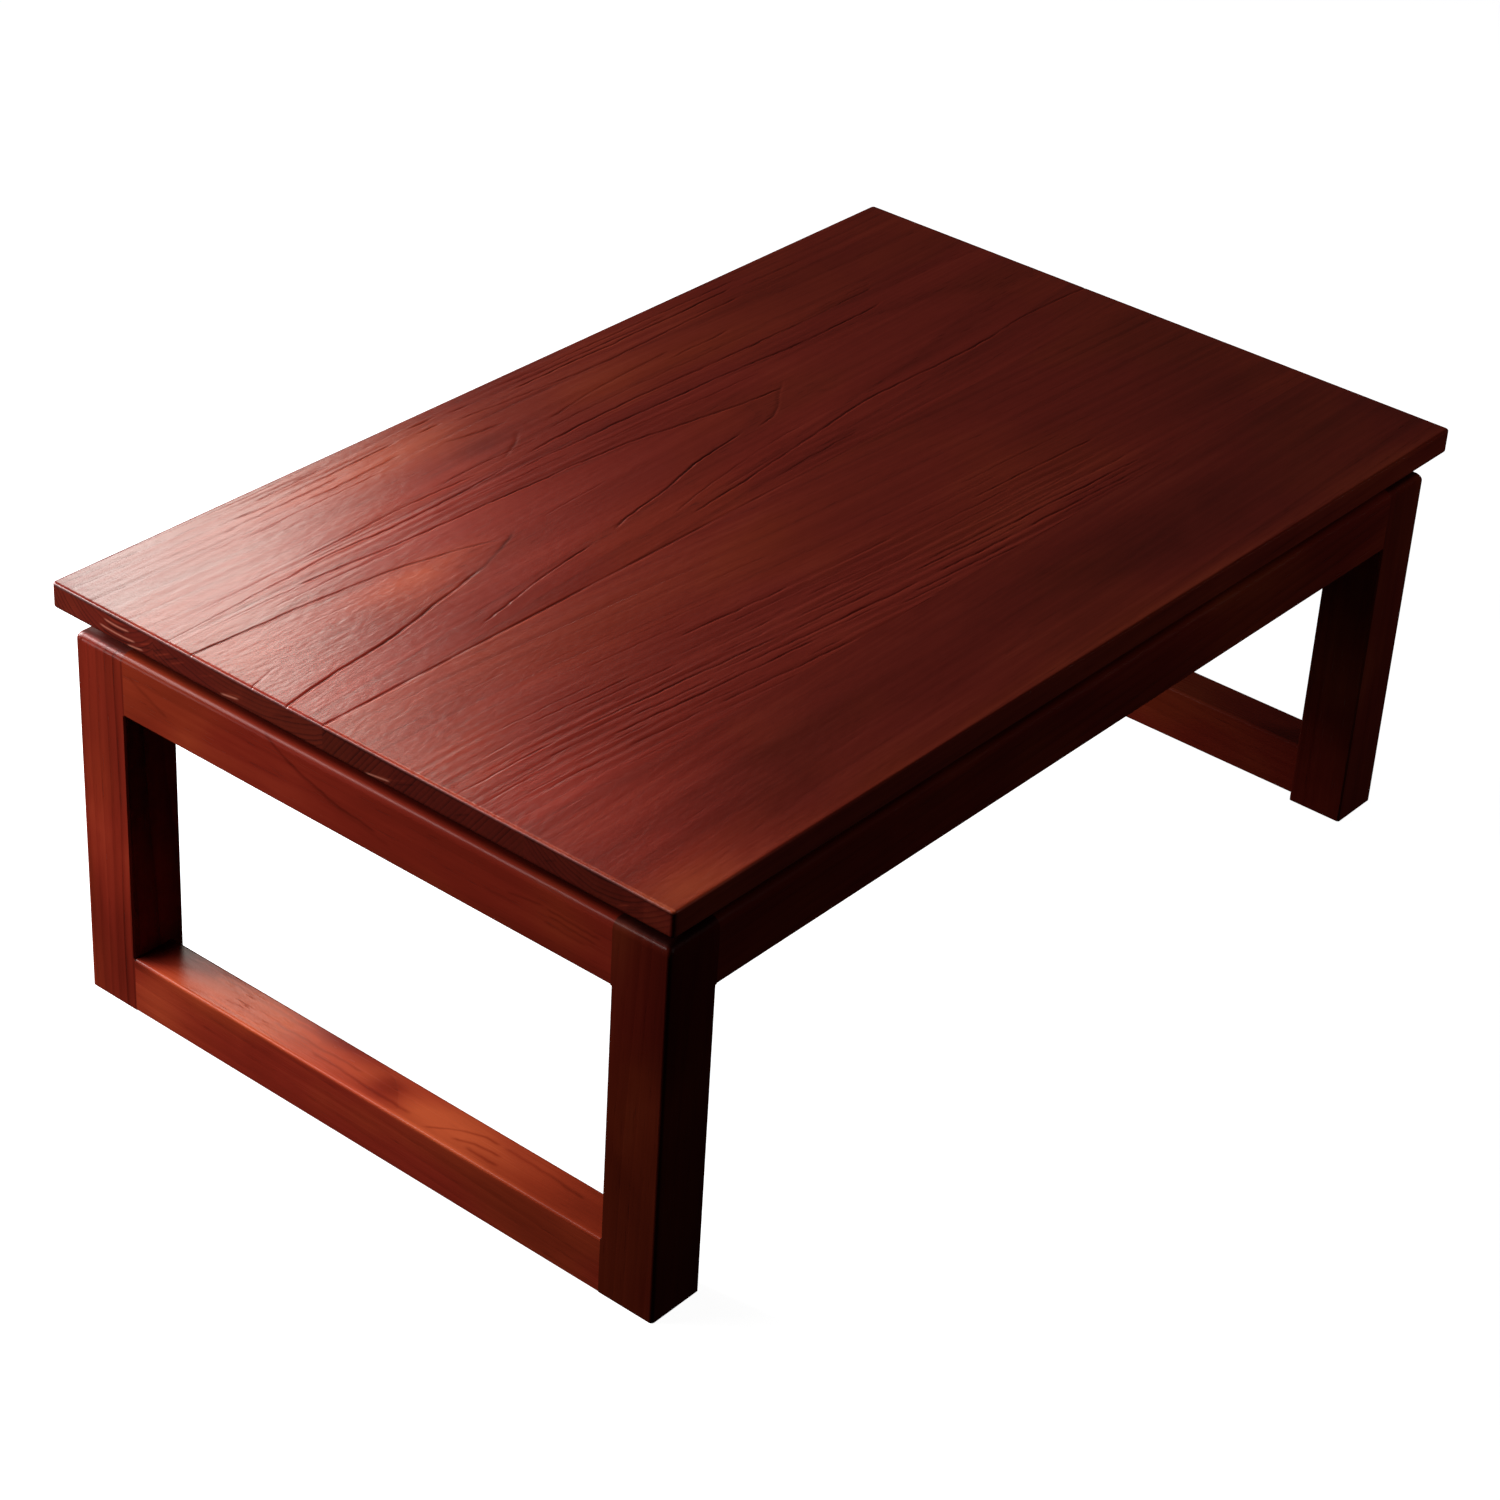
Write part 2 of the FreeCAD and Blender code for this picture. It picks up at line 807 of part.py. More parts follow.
# ------------------------------------------------------------------ test the document, then write each sub-part
doc.recompute()
for obj in doc.Objects:
    bad = [s for s in obj.State if s in ("Invalid", "Error")]
    if bad:
        raise RuntimeError("%s (%s) is %s" % (obj.Name, obj.Label, bad))
for obj, solids in SUBPARTS:
    shape = obj.Shape
    if shape.isNull() or not shape.isValid():
        raise RuntimeError("%s has no valid shape" % obj.Label)
    if len(shape.Solids) != solids:
        raise RuntimeError(
            "%s has %d solids, not %d" % (obj.Label, len(shape.Solids), solids)
        )
os.makedirs("parts", exist_ok=True)
for obj, solids in SUBPARTS:
    obj.Shape.exportStep("parts/%s.step" % obj.Label)
    b = obj.Shape.BoundBox
    print(
        "%-26s %9.0f mm3  x %7.1f %7.1f  y %7.1f %7.1f  z %6.1f %6.1f"
        % (obj.Label, obj.Shape.Volume, b.XMin, b.XMax, b.YMin, b.YMax, b.ZMin, b.ZMax)
    )
print(len(SUBPARTS), "sub-parts")
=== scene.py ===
import math

import bpy
import numpy as np
from mathutils import Matrix, Quaternion, Vector


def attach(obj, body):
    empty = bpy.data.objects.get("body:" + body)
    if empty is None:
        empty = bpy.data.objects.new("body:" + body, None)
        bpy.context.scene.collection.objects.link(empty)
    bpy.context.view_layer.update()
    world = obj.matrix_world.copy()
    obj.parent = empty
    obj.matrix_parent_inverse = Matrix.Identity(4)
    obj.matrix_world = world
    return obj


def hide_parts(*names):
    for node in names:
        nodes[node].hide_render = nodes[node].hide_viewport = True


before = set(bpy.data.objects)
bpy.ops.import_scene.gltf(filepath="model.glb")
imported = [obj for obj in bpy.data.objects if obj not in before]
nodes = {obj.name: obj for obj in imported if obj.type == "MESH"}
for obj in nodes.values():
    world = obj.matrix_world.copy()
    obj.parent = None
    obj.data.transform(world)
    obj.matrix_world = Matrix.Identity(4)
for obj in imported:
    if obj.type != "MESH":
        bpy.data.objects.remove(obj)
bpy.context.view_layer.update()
scene = bpy.context.scene


# ---------------------------------------------------------------- small node helpers
class Net:
    """A material's node tree, with short calls for the nodes used here."""

    def __init__(self, name):
        self.mat = bpy.data.materials.new(name)
        self.mat.use_nodes = True
        self.tree = self.mat.node_tree
        self.tree.nodes.clear()

    def add(self, kind, **settings):
        node = self.tree.nodes.new(kind)
        for key, value in settings.items():
            setattr(node, key, value)
        return node

    def put(self, socket, value):
        if isinstance(value, bpy.types.NodeSocket):
            self.tree.links.new(value, socket)
        elif value is not None:
            socket.default_value = value

    def math(self, op, a, b=None, c=None, clamp=False):
        node = self.add("ShaderNodeMath", operation=op, use_clamp=clamp)
        for socket, value in zip(node.inputs, (a, b, c)):
            self.put(socket, value)
        return node.outputs[0]

    def vec(self, op, a, b=None, scale=None):
        node = self.add("ShaderNodeVectorMath", operation=op)
        self.put(node.inputs[0], a)
        if b is not None:
            self.put(node.inputs[1], b)
        if scale is not None:
            self.put(node.inputs["Scale"], scale)
        return node.outputs["Value"] if op in ("LENGTH", "DOT_PRODUCT", "DISTANCE") else node.outputs["Vector"]

    def noise(self, where, scale=1.0, detail=2.0, rough=0.5, distort=0.0):
        node = self.add("ShaderNodeTexNoise", noise_dimensions="3D")
        self.put(node.inputs["Vector"], where)
        self.put(node.inputs["Scale"], scale)
        self.put(node.inputs["Detail"], detail)
        self.put(node.inputs["Roughness"], rough)
        self.put(node.inputs["Distortion"], distort)
        return node

    def span(self, value, low, high, to_low=0.0, to_high=1.0, smooth=False):
        node = self.add("ShaderNodeMapRange", interpolation_type="SMOOTHSTEP" if smooth else "LINEAR")
        node.clamp = True
        for socket, v in zip(node.inputs[:5], (value, low, high, to_low, to_high)):
            self.put(socket, v)
        return node.outputs[0]

    def ramp(self, value, stops):
        node = self.add("ShaderNodeValToRGB")
        band = node.color_ramp
        while len(band.elements) < len(stops):
            band.elements.new(0.5)
        for element, (at, colour) in zip(band.elements, stops):
            element.position = at
            element.color = (*colour, 1.0) if len(colour) == 3 else colour
        self.put(node.inputs[0], value)
        return node.outputs[0]

    def blend(self, kind, amount, a, b):
        node = self.add("ShaderNodeMix", data_type="RGBA", blend_type=kind)
        node.clamp_factor = True
        self.put(node.inputs["Factor"], amount)
        self.put(node.inputs[6], a)
        self.put(node.inputs[7], b)
        return node.outputs[2]


# ---------------------------------------------------------------- wood
AXES = {"x": (0, 1, 2), "y": (1, 2, 0), "z": (2, 0, 1)}
RED = ((0.090, 0.0074, 0.0040), (0.280, 0.0240, 0.0122), (0.500, 0.0590, 0.0265))
TOP_RED = ((0.090, 0.0078, 0.0048), (0.280, 0.0256, 0.0152), (0.500, 0.0630, 0.0335))
WARM = ((0.110, 0.0106, 0.0046), (0.340, 0.0410, 0.0145), (0.600, 0.1010, 0.0350))


def spot(n, place, centre, reach):
    """A soft ball, 1 at its centre."""
    away = n.vec("MULTIPLY", n.vec("SUBTRACT", place, centre), tuple(1 / r for r in reach))
    return n.math("POWER", 2.718, n.math("MULTIPLY", n.vec("DOT_PRODUCT", away, away), -1.0))


def stroke(n, u, v, start, stop, line, width, fade=0.006):
    """A soft line from start to stop along u, following v = a + b t + c t^2 with t counted from its start."""
    t = n.math("SUBTRACT", u, start)
    off = n.math("SUBTRACT", v, n.math("MULTIPLY_ADD", n.math("MULTIPLY_ADD", t, line[2], line[1]), t, line[0]))
    off = n.math("DIVIDE", off, width)
    body = n.math("POWER", 2.718, n.math("MULTIPLY", n.math("MULTIPLY", off, off), -1.0))
    ends = n.math("MULTIPLY", n.span(t, 0.0, fade, smooth=True), n.span(t, stop - start - fade, stop - start, 1.0, 0.0, smooth=True))
    return n.math("MULTIPLY", body, ends)


def wood(name, axis, pith, lean, spacing, seed, carved=False, sawn=False, tone=1.0, ring=0.22, streaks=0.28, bands=0.40, blots=0.60, warmth=1.0, gloss=0.22, shine=0.25, bump=0.25, spots=(), strokes=(), side=2, run=None):
    """Stained, lacquered open-grained wood as a solid: yearly rings about a leaning pith line, so that a face cut along
    it shows cathedrals and a face cut across it shows arcs. Lengths in metres. A carved board brings its own ring and
    fibre coordinates with its mesh; a sawn one is its end grain. Spots and strokes are single marks in the piece:
    knots and figure, and also painted highlights, painted shade and painted shadows."""
    n = Net(name)
    place = n.add("ShaderNodeTexCoord").outputs["Object"]
    parts = n.add("ShaderNodeSeparateXYZ")
    n.put(parts.inputs[0], place)
    order = AXES[axis]
    along = n.add("ShaderNodeCombineXYZ")
    n.put(along.inputs[0], parts.outputs[order[0]])
    if carved:
        n.put(along.inputs[1], n.add("ShaderNodeAttribute", attribute_name="fibre").outputs["Fac"])
    else:
        n.put(along.inputs[1], parts.outputs[order[1]])
    n.put(along.inputs[2], parts.outputs[order[2]])
    q = n.vec("ADD", along.outputs[0], (seed * 1.37, seed * 0.71, seed * 0.29))

    # rings
    if carved:
        rho = n.add("ShaderNodeAttribute", attribute_name="rho").outputs["Fac"]
    else:
        sway = n.noise(n.vec("MULTIPLY", q, (3.0, 16.0, 16.0)), detail=2.0)
        shift = n.vec("MULTIPLY", n.vec("SUBTRACT", sway.outputs["Color"], (0.5, 0.5, 0.5)), (0.0, 0.012, 0.012))
        rel = n.vec("SUBTRACT", n.vec("ADD", along.outputs[0], shift), pith)
        length = math.sqrt(1 + lean[0] ** 2 + lean[1] ** 2)
        rho = n.vec("LENGTH", n.vec("CROSS_PRODUCT", rel, (1 / length, lean[0] / length, lean[1] / length)))
    turns = n.math("DIVIDE", rho, spacing)
    phase = n.math("FRACT", turns)
    which = n.add("ShaderNodeTexWhiteNoise", noise_dimensions="1D")
    n.put(which.inputs["W"], n.math("ADD", n.math("FLOOR", turns), seed * 3.1))
    year = n.span(which.outputs["Value"], 0.0, 1.0, 0.2, 1.0)
    early = n.ramp(phase, [(0.0, (1, 1, 1)), (0.10, (0.85,) * 3), (0.42, (0.18,) * 3), (0.75, (0, 0, 0)), (0.93, (0.05,) * 3), (1.0, (0.9,) * 3)])
    early = n.math("MULTIPLY", early, year)

    # fibre, pores, stain
    streak = n.noise(n.vec("MULTIPLY", q, (5.0, 260.0, 260.0)), detail=4.0, rough=0.6).outputs[0]
    band = n.noise(n.vec("MULTIPLY", q, (1.6, 34.0, 34.0)), detail=3.0, rough=0.55).outputs[0]
    blot = n.noise(n.vec("MULTIPLY", q, (6.0, 15.0, 15.0)), detail=3.0, rough=0.6, distort=0.6).outputs[0]
    pore = n.noise(n.vec("MULTIPLY", q, (55.0, 900.0, 900.0)), detail=1.0).outputs[0]
    pore = n.span(pore, 0.60, 0.70, 0.0, 1.0, smooth=True)
    pore = n.math("MULTIPLY", pore, n.math("ADD", n.math("MULTIPLY", early, 0.8), 0.2))
    warm = n.noise(n.vec("MULTIPLY", q, (7.0, 11.0, 11.0)), detail=2.0, rough=0.5).outputs[0]
    warm = n.span(warm, 0.44, 0.66, 0.0, warmth, smooth=True)

    # faces cut across the fibre are darker, with the pores as dots
    normal = n.add("ShaderNodeNewGeometry").outputs["Normal"]
    unit = [0.0, 0.0, 0.0]
    unit[order[0]] = 1.0
    end = n.math("ABSOLUTE", n.vec("DOT_PRODUCT", normal, tuple(unit)))
    end = n.span(end, 0.30 if sawn else 0.72, 0.60 if sawn else 0.95, 0.0, 1.0, smooth=True)

    level = n.math("ADD", n.math("MULTIPLY", n.math("SUBTRACT", streak, 0.5), streaks), 0.5)
    level = n.math("ADD", level, n.math("MULTIPLY", n.math("SUBTRACT", band, 0.5), bands))
    level = n.math("ADD", level, n.math("MULTIPLY", n.math("SUBTRACT", blot, 0.5), blots))
    level = n.math("SUBTRACT", level, n.math("MULTIPLY", early, ring))
    level = n.math("SUBTRACT", level, n.math("MULTIPLY", end, 0.05 if sawn else 0.30))
    if carved and not sawn:
        level = n.math("ADD", level, n.add("ShaderNodeAttribute", attribute_name="shade").outputs["Fac"])
        warm = n.math("ADD", warm, n.add("ShaderNodeAttribute", attribute_name="warmth").outputs["Fac"], clamp=True)
    for centre, reach, lighter, warmer in spots:
        ball = spot(n, place, centre, reach)
        level = n.math("MULTIPLY_ADD", ball, lighter, level)
        warm = n.math("MULTIPLY_ADD", ball, warmer, warm, clamp=True)
    if strokes:
        wobble = n.noise(n.vec("MULTIPLY", q, (60.0, 8.0, 8.0)), detail=2.0).outputs[0]
        across = n.math("MULTIPLY_ADD", n.math("SUBTRACT", wobble, 0.5), 0.004, parts.outputs[side])
        fade = 0.006 if run is None else 0.004
        pale = []
        for start, stop, line, width, lighter in strokes:
            mark = stroke(n, parts.outputs[order[0] if run is None else run], across, start, stop, line, width, fade)
            if lighter > 0.6:
                pale.append(mark)
            else:
                level = n.math("MULTIPLY_ADD", mark, lighter, level)
    cool_tint = n.ramp(level, [(at, tuple(tone * c for c in rgb)) for at, rgb in zip((0.10, 0.52, 0.92), TOP_RED if carved and not sawn else RED)])
    warm_tint = n.ramp(level, [(at, tuple(tone * c for c in rgb)) for at, rgb in zip((0.10, 0.52, 0.92), WARM)])
    colour = n.blend("MIX", warm, cool_tint, warm_tint)
    # marks lighter than 0.6 are blended to a pale pink: painted glints on the end grain
    if strokes:
        for mark in pale:
            colour = n.blend("MIX", n.math("MULTIPLY", mark, 0.8), colour, (0.64, 0.21, 0.14, 1.0))
    colour = n.blend("MULTIPLY", n.math("MULTIPLY", pore, 0.5), colour, (0.35, 0.22, 0.20, 1.0))
    # darker along the lines of open grain and the joint, and painted shade in the valleys between ridges
    if carved:
        cut = n.add("ShaderNodeAttribute", attribute_name="groove_and_valley_shade").outputs["Fac"]
        colour = n.blend("MULTIPLY", n.math("MULTIPLY", cut, 0.82), colour, (0.28, 0.19, 0.17, 1.0))

    rough = n.math("ADD", n.math("MULTIPLY", n.math("SUBTRACT", streak, 0.5), 0.12), gloss)
    rough = n.math("ADD", rough, n.math("MULTIPLY", n.math("SUBTRACT", blot, 0.5), 0.10))
    rough = n.math("ADD", rough, n.math("MULTIPLY", pore, 0.03 if carved else 0.12))
    rough = n.math("ADD", rough, n.math("MULTIPLY", end, 0.25), clamp=True)

    height = n.math("ADD", n.math("MULTIPLY", early, -0.45), n.math("MULTIPLY", streak, 0.35))
    height = n.math("SUBTRACT", height, n.math("MULTIPLY", pore, 0.2 if carved else 0.5))
    if carved and not sawn:
        # the lacquer lies a little uneven over the brushed face, most at the left end of the front boards
        uneven = n.noise(n.vec("MULTIPLY", place, (115.0, 340.0, 1.0)), detail=1.5, rough=0.5).outputs[0]
        more = n.math("MULTIPLY", n.span(parts.outputs[0], -0.40, 0.20, 0.8, 0.0), n.span(parts.outputs[1], 0.10, 0.14, 1.0, 0.0))
        height = n.math("MULTIPLY_ADD", uneven, n.math("ADD", more, 0.9), height)
    bumped = n.add("ShaderNodeBump")
    n.put(bumped.inputs["Strength"], bump)
    n.put(bumped.inputs["Distance"], 0.0004)
    n.put(bumped.inputs["Height"], height)

    skin = n.add("ShaderNodeBsdfPrincipled")
    n.put(skin.inputs["Base Color"], colour)
    n.put(skin.inputs["Roughness"], rough)
    n.put(skin.inputs["Normal"], bumped.outputs[0])
    n.put(skin.inputs["Specular IOR Level"], shine)
    out = n.add("ShaderNodeOutputMaterial")
    n.put(out.inputs[0], skin.outputs[0])
    return n.mat


def dress(obj, material):
    obj.data.materials.clear()
    obj.data.materials.append(material)


legs = {
    "leg_front_left": (-0.370, -0.220),
    "leg_front_right": (0.370, -0.220),
    "leg_back_right": (0.370, 0.220),
    "leg_back_left": (-0.370, 0.220),
}
# painted light in the legs' looks: the spots at the top (z 0.266) paint a highlight along the outer top edge and
# painted shade on the top ledge under the slab's overhang; on the back left leg two more spots paint its outer face
# lighter in the middle and darker near the top, as the light falls; the low tones of the two front legs are partly a
# darker stain and partly painted shade
LEG_LOOK = {
    "leg_front_left": dict(tone=0.375, ring=0.08, streaks=0.18, shine=0.15, spots=[((-0.391, -0.22, 0.2660), (0.0028, 0.6, 0.0018), 0.60, 0.3), ((-0.368, -0.22, 0.2668), (0.017, 0.6, 0.0022), -0.50, 0.0)]),
    "leg_back_left": dict(tone=1.06, ring=0.24, streaks=0.18, bands=0.5, warmth=0.6, spots=[((-0.391, 0.22, 0.115), (0.02, 0.06, 0.05), 0.20, 0.1), ((-0.391, 0.22, 0.250), (0.02, 0.06, 0.06), -0.10, 0.0), ((-0.391, 0.22, 0.2660), (0.0028, 0.6, 0.0018), 0.60, 0.3), ((-0.368, 0.22, 0.2668), (0.017, 0.6, 0.0022), -0.50, 0.0)]),
    "leg_front_right": dict(tone=0.46, ring=0.10, spots=[((0.37, -0.241, 0.2660), (0.6, 0.0026, 0.0018), 0.50, 0.2), ((0.37, -0.218, 0.2668), (0.6, 0.017, 0.0022), -0.60, 0.0)]),
    "leg_back_right": dict(tone=0.90, ring=0.14),
}
for k, (name, (x, y)) in enumerate(legs.items()):
    # grain along z; the pith stands away from the leg so that the faces show near-straight lines
    dress(nodes[name], wood("wood_" + name, "z", (0.1, x + 0.05, y + 0.11 * (1 if k % 2 else -1)), (0.03, -0.02), 0.0062, 2.0 + k, **LEG_LOOK[name]))
# the spots at the aprons' top paint a highlight along the outer top edge and painted shade on the top ledge under the
# slab's overhang
for k, name in enumerate(("apron_front", "apron_back")):
    y = -0.229 if k == 0 else 0.229
    dress(nodes[name], wood("wood_" + name, "x", (0.0, y * 1.25, 0.20), (0.02, 0.03), 0.006, 7.0 + k, tone=0.64, ring=0.12, spots=[((0.0, -0.241 if k == 0 else 0.241, 0.2660), (0.6, 0.0026, 0.0018), 0.50, 0.2), ((0.0, -0.225 if k == 0 else 0.225, 0.2668), (0.6, 0.011, 0.0022), -0.60, 0.0)]))
for k, name in enumerate(("apron_left", "apron_right")):
    x = -0.379 if k == 0 else 0.379
    # on the left apron the first two spots are the same painted highlight and painted ledge shade; the other spots and
    # the strokes are marks in the stain and figure
    marks = dict(
        spots=[((-0.391, 0.0, 0.2660), (0.0028, 0.6, 0.0018), 0.60, 0.3), ((-0.374, 0.0, 0.2668), (0.012, 0.6, 0.0022), -0.50, 0.0), ((x, 0.130, 0.228), (0.03, 0.034, 0.012), 0.08, 0.4), ((x, 0.205, 0.236), (0.03, 0.05, 0.03), -0.04, 0.1), ((x, -0.06, 0.25), (0.03, 0.07, 0.03), -0.03, 0.0)],
        strokes=[
            (-0.018, 0.079, (0.2380, 0.04, 2.5), 0.0011, -0.20),
            (-0.030, 0.062, (0.2345, 0.03, 2.2), 0.0014, -0.09),
            (0.158, 0.196, (0.2380, 0.32, 2.0), 0.0016, -0.12),
            (-0.150, -0.118, (0.2505, -0.12, 0.0), 0.0009, -0.16),
            (-0.193, -0.148, (0.2480, 0.03, 0.0), 0.0009, -0.18),
            (-0.190, -0.150, (0.2435, 0.05, 0.0), 0.0009, -0.18),
            (-0.182, -0.146, (0.2395, 0.00, 0.0), 0.0009, -0.14),
            (-0.130, -0.100, (0.2425, -0.05, 0.0), 0.0010, -0.10),
        ],
    )
    dress(nodes[name], wood("wood_" + name, "y", (0.0, 0.20, x * 0.9), (0.05, 0.04), 0.009, 11.0 + k, tone=0.94, ring=0.08, streaks=0.16, bands=0.22, blots=0.50, warmth=0.7, shine=0.15, **(marks if k == 0 else {})))
for k, name in enumerate(("floor_stretcher_left", "floor_stretcher_right")):
    x = -0.375 if k == 0 else 0.375
    # on the left stretcher, painted light and shade: the long spot along the top and the broad one at y 0.04 make the
    # top lighter than its faces as the light falls on it; the dark spot at y 0.199 is a painted shadow of the back left
    # leg; the spots at y -0.18 on the top and y -0.15 on the outer face are painted shade towards the front end; the
    # spot at y 0.18 on the outer face is painted light; the thin one at z 0.040 is a painted highlight on the upper
    # outer edge; the pale strokes are grain painted with glints of light; the other spots and the dark strokes are
    # knots and figure. Its higher tone than the right stretcher's is partly painted light.
    marks = dict(
        spots=[
            ((x, -0.010, 0.0425), (0.011, 0.015, 0.0040), -0.60, -0.5),
            ((-0.361, 0.035, 0.0425), (0.006, 0.034, 0.0040), -0.50, -0.3),
            ((x, -0.066, 0.0425), (0.018, 0.040, 0.0045), 0.40, 1.0),
            ((x, 0.115, 0.042), (0.014, 0.055, 0.010), 0.12, 0.5),
            ((x, 0.040, 0.0425), (0.030, 0.085, 0.0035), 0.40, 0.2),
            ((x, 0.199, 0.041), (0.030, 0.018, 0.008), -0.62, -0.2),
            ((x, -0.180, 0.0425), (0.020, 0.055, 0.0050), -0.42, -0.2),
            ((-0.391, 0.180, 0.018), (0.008, 0.026, 0.020), 0.14, 0.6),
            ((-0.391, -0.150, 0.018), (0.008, 0.080, 0.024), -0.15, 0.0),
            ((-0.391, 0.02, 0.0400), (0.0022, 0.18, 0.0018), 0.35, 0.3),
            ((x, -0.02, 0.0425), (0.030, 0.40, 0.0035), 0.27, 0.0),
        ],
        strokes=[
            (-0.100, -0.050, (-0.368, 0.05, -9.0), 0.0011, -0.26),
            (-0.108, -0.070, (-0.376, 0.05, -7.0), 0.0012, -0.26),
            (-0.112, -0.082, (-0.384, 0.05, -2.0), 0.0012, -0.22),
            (0.050, 0.150, (-0.370, 0.02, 0.0), 0.0016, 0.18),
            (0.060, 0.175, (-0.364, 0.00, 0.0), 0.0010, 0.16),
            (0.030, 0.140, (-0.3865, 0.01, 0.0), 0.0009, 0.18),
            (0.010, 0.090, (-0.374, -0.02, 0.0), 0.0011, -0.20),
            (-0.040, 0.050, (-0.383, 0.02, 0.0), 0.0012, -0.22),
            (-0.170, -0.100, (-0.370, 0.03, 0.0), 0.0012, -0.16),
            (0.040, 0.130, (-0.380, 0.00, 0.0), 0.0014, -0.10),
        ],
        side=0,
    )
    dress(nodes[name], wood("wood_" + name, "y", (0.0, -0.03, x), (0.06, 0.03), 0.009, 15.0 + k, tone=1.30 if k == 0 else 0.69, ring=0.08, streaks=0.18, bands=0.24, blots=0.50, gloss=0.26, shine=0.20, **(marks if k == 0 else {})))
# the waist strips get a very dark tone (0.24, against 0.7 for the battens): painted shade in the recess under the slab
for k, name in enumerate(("waist_strip_front", "waist_strip_back", "waist_strip_left", "waist_strip_right", "batten_left", "batten_right")):
    axis = "x" if name in ("waist_strip_front", "waist_strip_back") else "y"
    dress(nodes[name], wood("wood_" + name, axis, (0.0, 0.1, 0.1), (0.03, 0.02), 0.005, 21.0 + k, tone=0.24 if name.startswith("waist") else 0.7, gloss=0.5))
for k, name in enumerate(("corner_block_front_left", "corner_block_front_right", "corner_block_back_right", "corner_block_back_left")):
    dress(nodes[name], wood("wood_" + name, "z", (0.0, 0.1, 0.1), (0.03, 0.02), 0.005, 31.0 + k, tone=0.8, gloss=0.5))


def steel(name):
    n = Net(name)
    place = n.add("ShaderNodeTexCoord").outputs["Object"]
    fine = n.noise(place, scale=900.0, detail=3.0).outputs[0]
    spot = n.noise(place, scale=160.0, detail=2.0).outputs[0]
    colour = n.ramp(n.math("ADD", n.math("MULTIPLY", fine, 0.5), n.math("MULTIPLY", spot, 0.5)), [(0.3, (0.30, 0.26, 0.17)), (0.7, (0.55, 0.50, 0.38))])
    skin = n.add("ShaderNodeBsdfPrincipled")
    n.put(skin.inputs["Metallic"], 1.0)
    n.put(skin.inputs["Base Color"], colour)
    n.put(skin.inputs["Roughness"], n.span(fine, 0.3, 0.7, 0.28, 0.5))
    out = n.add("ShaderNodeOutputMaterial")
    n.put(out.inputs[0], skin.outputs[0])
    return n.mat


zinc = steel("zinc_plated")
for name in ("batten_screws", "corner_block_screws"):
    dress(nodes[name], zinc)


# ---------------------------------------------------------------- the top: four boards with brushed-out grain
# Everything here is in millimetres until the mesh is made. The slab is 800 x 500 x 18, its edges rounded by 2 and its
# corners by 3 in plan; only the sides on the slab's outline are rounded, the joints between the boards are square.
HALF_X, HALF_Y, TOP, UNDER = 400.0, 250.0, 300.0, 282.0
EDGE, CORNER = 2.0, 3.0
LEVELS = np.array([1.0, 4 / 3, 5 / 3, 2.0, 7 / 3, 8 / 3, 3.0])  # distance past the corner's centre, up to the outline


def ease(t):
    t = np.clip(t, 0.0, 1.0)
    return t * t * (3.0 - 2.0 * t)


def ripple(x, y, size_x, size_y, seed):
    """A smooth random surface in -1..1 whose swells are about size_x by size_y."""
    table = np.random.default_rng(seed).random((64, 64)) * 2.0 - 1.0
    u, v = np.asarray(x) / size_x + 640.0, np.asarray(y) / size_y + 640.0
    iu, iv = np.floor(u).astype(int), np.floor(v).astype(int)
    fu, fv = ease(u - iu), ease(v - iv)
    a, b = table[iu % 64, iv % 64], table[(iu + 1) % 64, iv % 64]
    c, d = table[iu % 64, (iv + 1) % 64], table[(iu + 1) % 64, (iv + 1) % 64]
    return (a * (1 - fu) + b * fu) * (1 - fv) + (c * (1 - fu) + d * fu) * fv


def through(points, x):
    """The y at each x of a smooth line through the points."""
    px, py = np.array(points, float).T
    slope = np.gradient(py, px)
    k = np.clip(np.searchsorted(px, x) - 1, 0, len(px) - 2)
    w = px[k + 1] - px[k]
    t = (x - px[k]) / w
    return ((1 + 2 * t) * (1 - t) ** 2 * py[k] + t * (1 - t) ** 2 * w * slope[k] + t * t * (3 - 2 * t) * py[k + 1] + t * t * (t - 1) * w * slope[k + 1])


def carve(x, y, relief, cut, painted_lip_light, points, depth, width=0.8, fade=14.0, seed=0, near=1.0, calm=120.0):
    """Sink one line of open grain into the board, fading out at both ends; its near lip stands up a little and is
    painted paler, a painted highlight on the side that faces the light.
    """
    width = 0.72 * width
    row = x[:, 0]
    inside = (row >= points[0][0]) & (row <= points[-1][0])
    if not inside.any():
        return
    at = row[inside]
    mid = through(points, at) + 0.50 * ripple(at, 0 * at, 17.0, 1.0, seed) + 0.32 * ripple(at, 0 * at, 5.5, 1.0, seed + 1)
    slope = np.gradient(mid, at)
    power = ease((at - points[0][0]) / fade) * ease((points[-1][0] - at) / fade)
    power = power * np.clip(0.78 + 0.30 * ripple(at, 0 * at, 38.0, 1.0, seed + 2) + 0.24 * ripple(at, 0 * at, 11.0, 1.0, seed + 3), 0.1, 1.15) * (near + (1 - near) * ease((at + 400.0) / calm))
    off = (y[inside] - mid[:, None]) / np.sqrt(1 + slope**2)[:, None]
    bell = power[:, None] * np.exp(-((off / width) ** 2))
    lip = power[:, None] * np.exp(-(((off + 1.9 * width) / (1.0 * width)) ** 2))
    relief[inside] += depth * (0.10 * lip - bell)
    # the lip's painted highlight
    painted_lip_light[inside] = np.maximum(painted_lip_light[inside], lip * min(1.0, depth / 0.5) * ease((depth - 0.24) / 0.16))
    cut[inside] = np.maximum(cut[inside], np.clip(bell * min(1.0, depth / (0.42 if width < 1.1 else 0.07)), 0.0, 1.0))


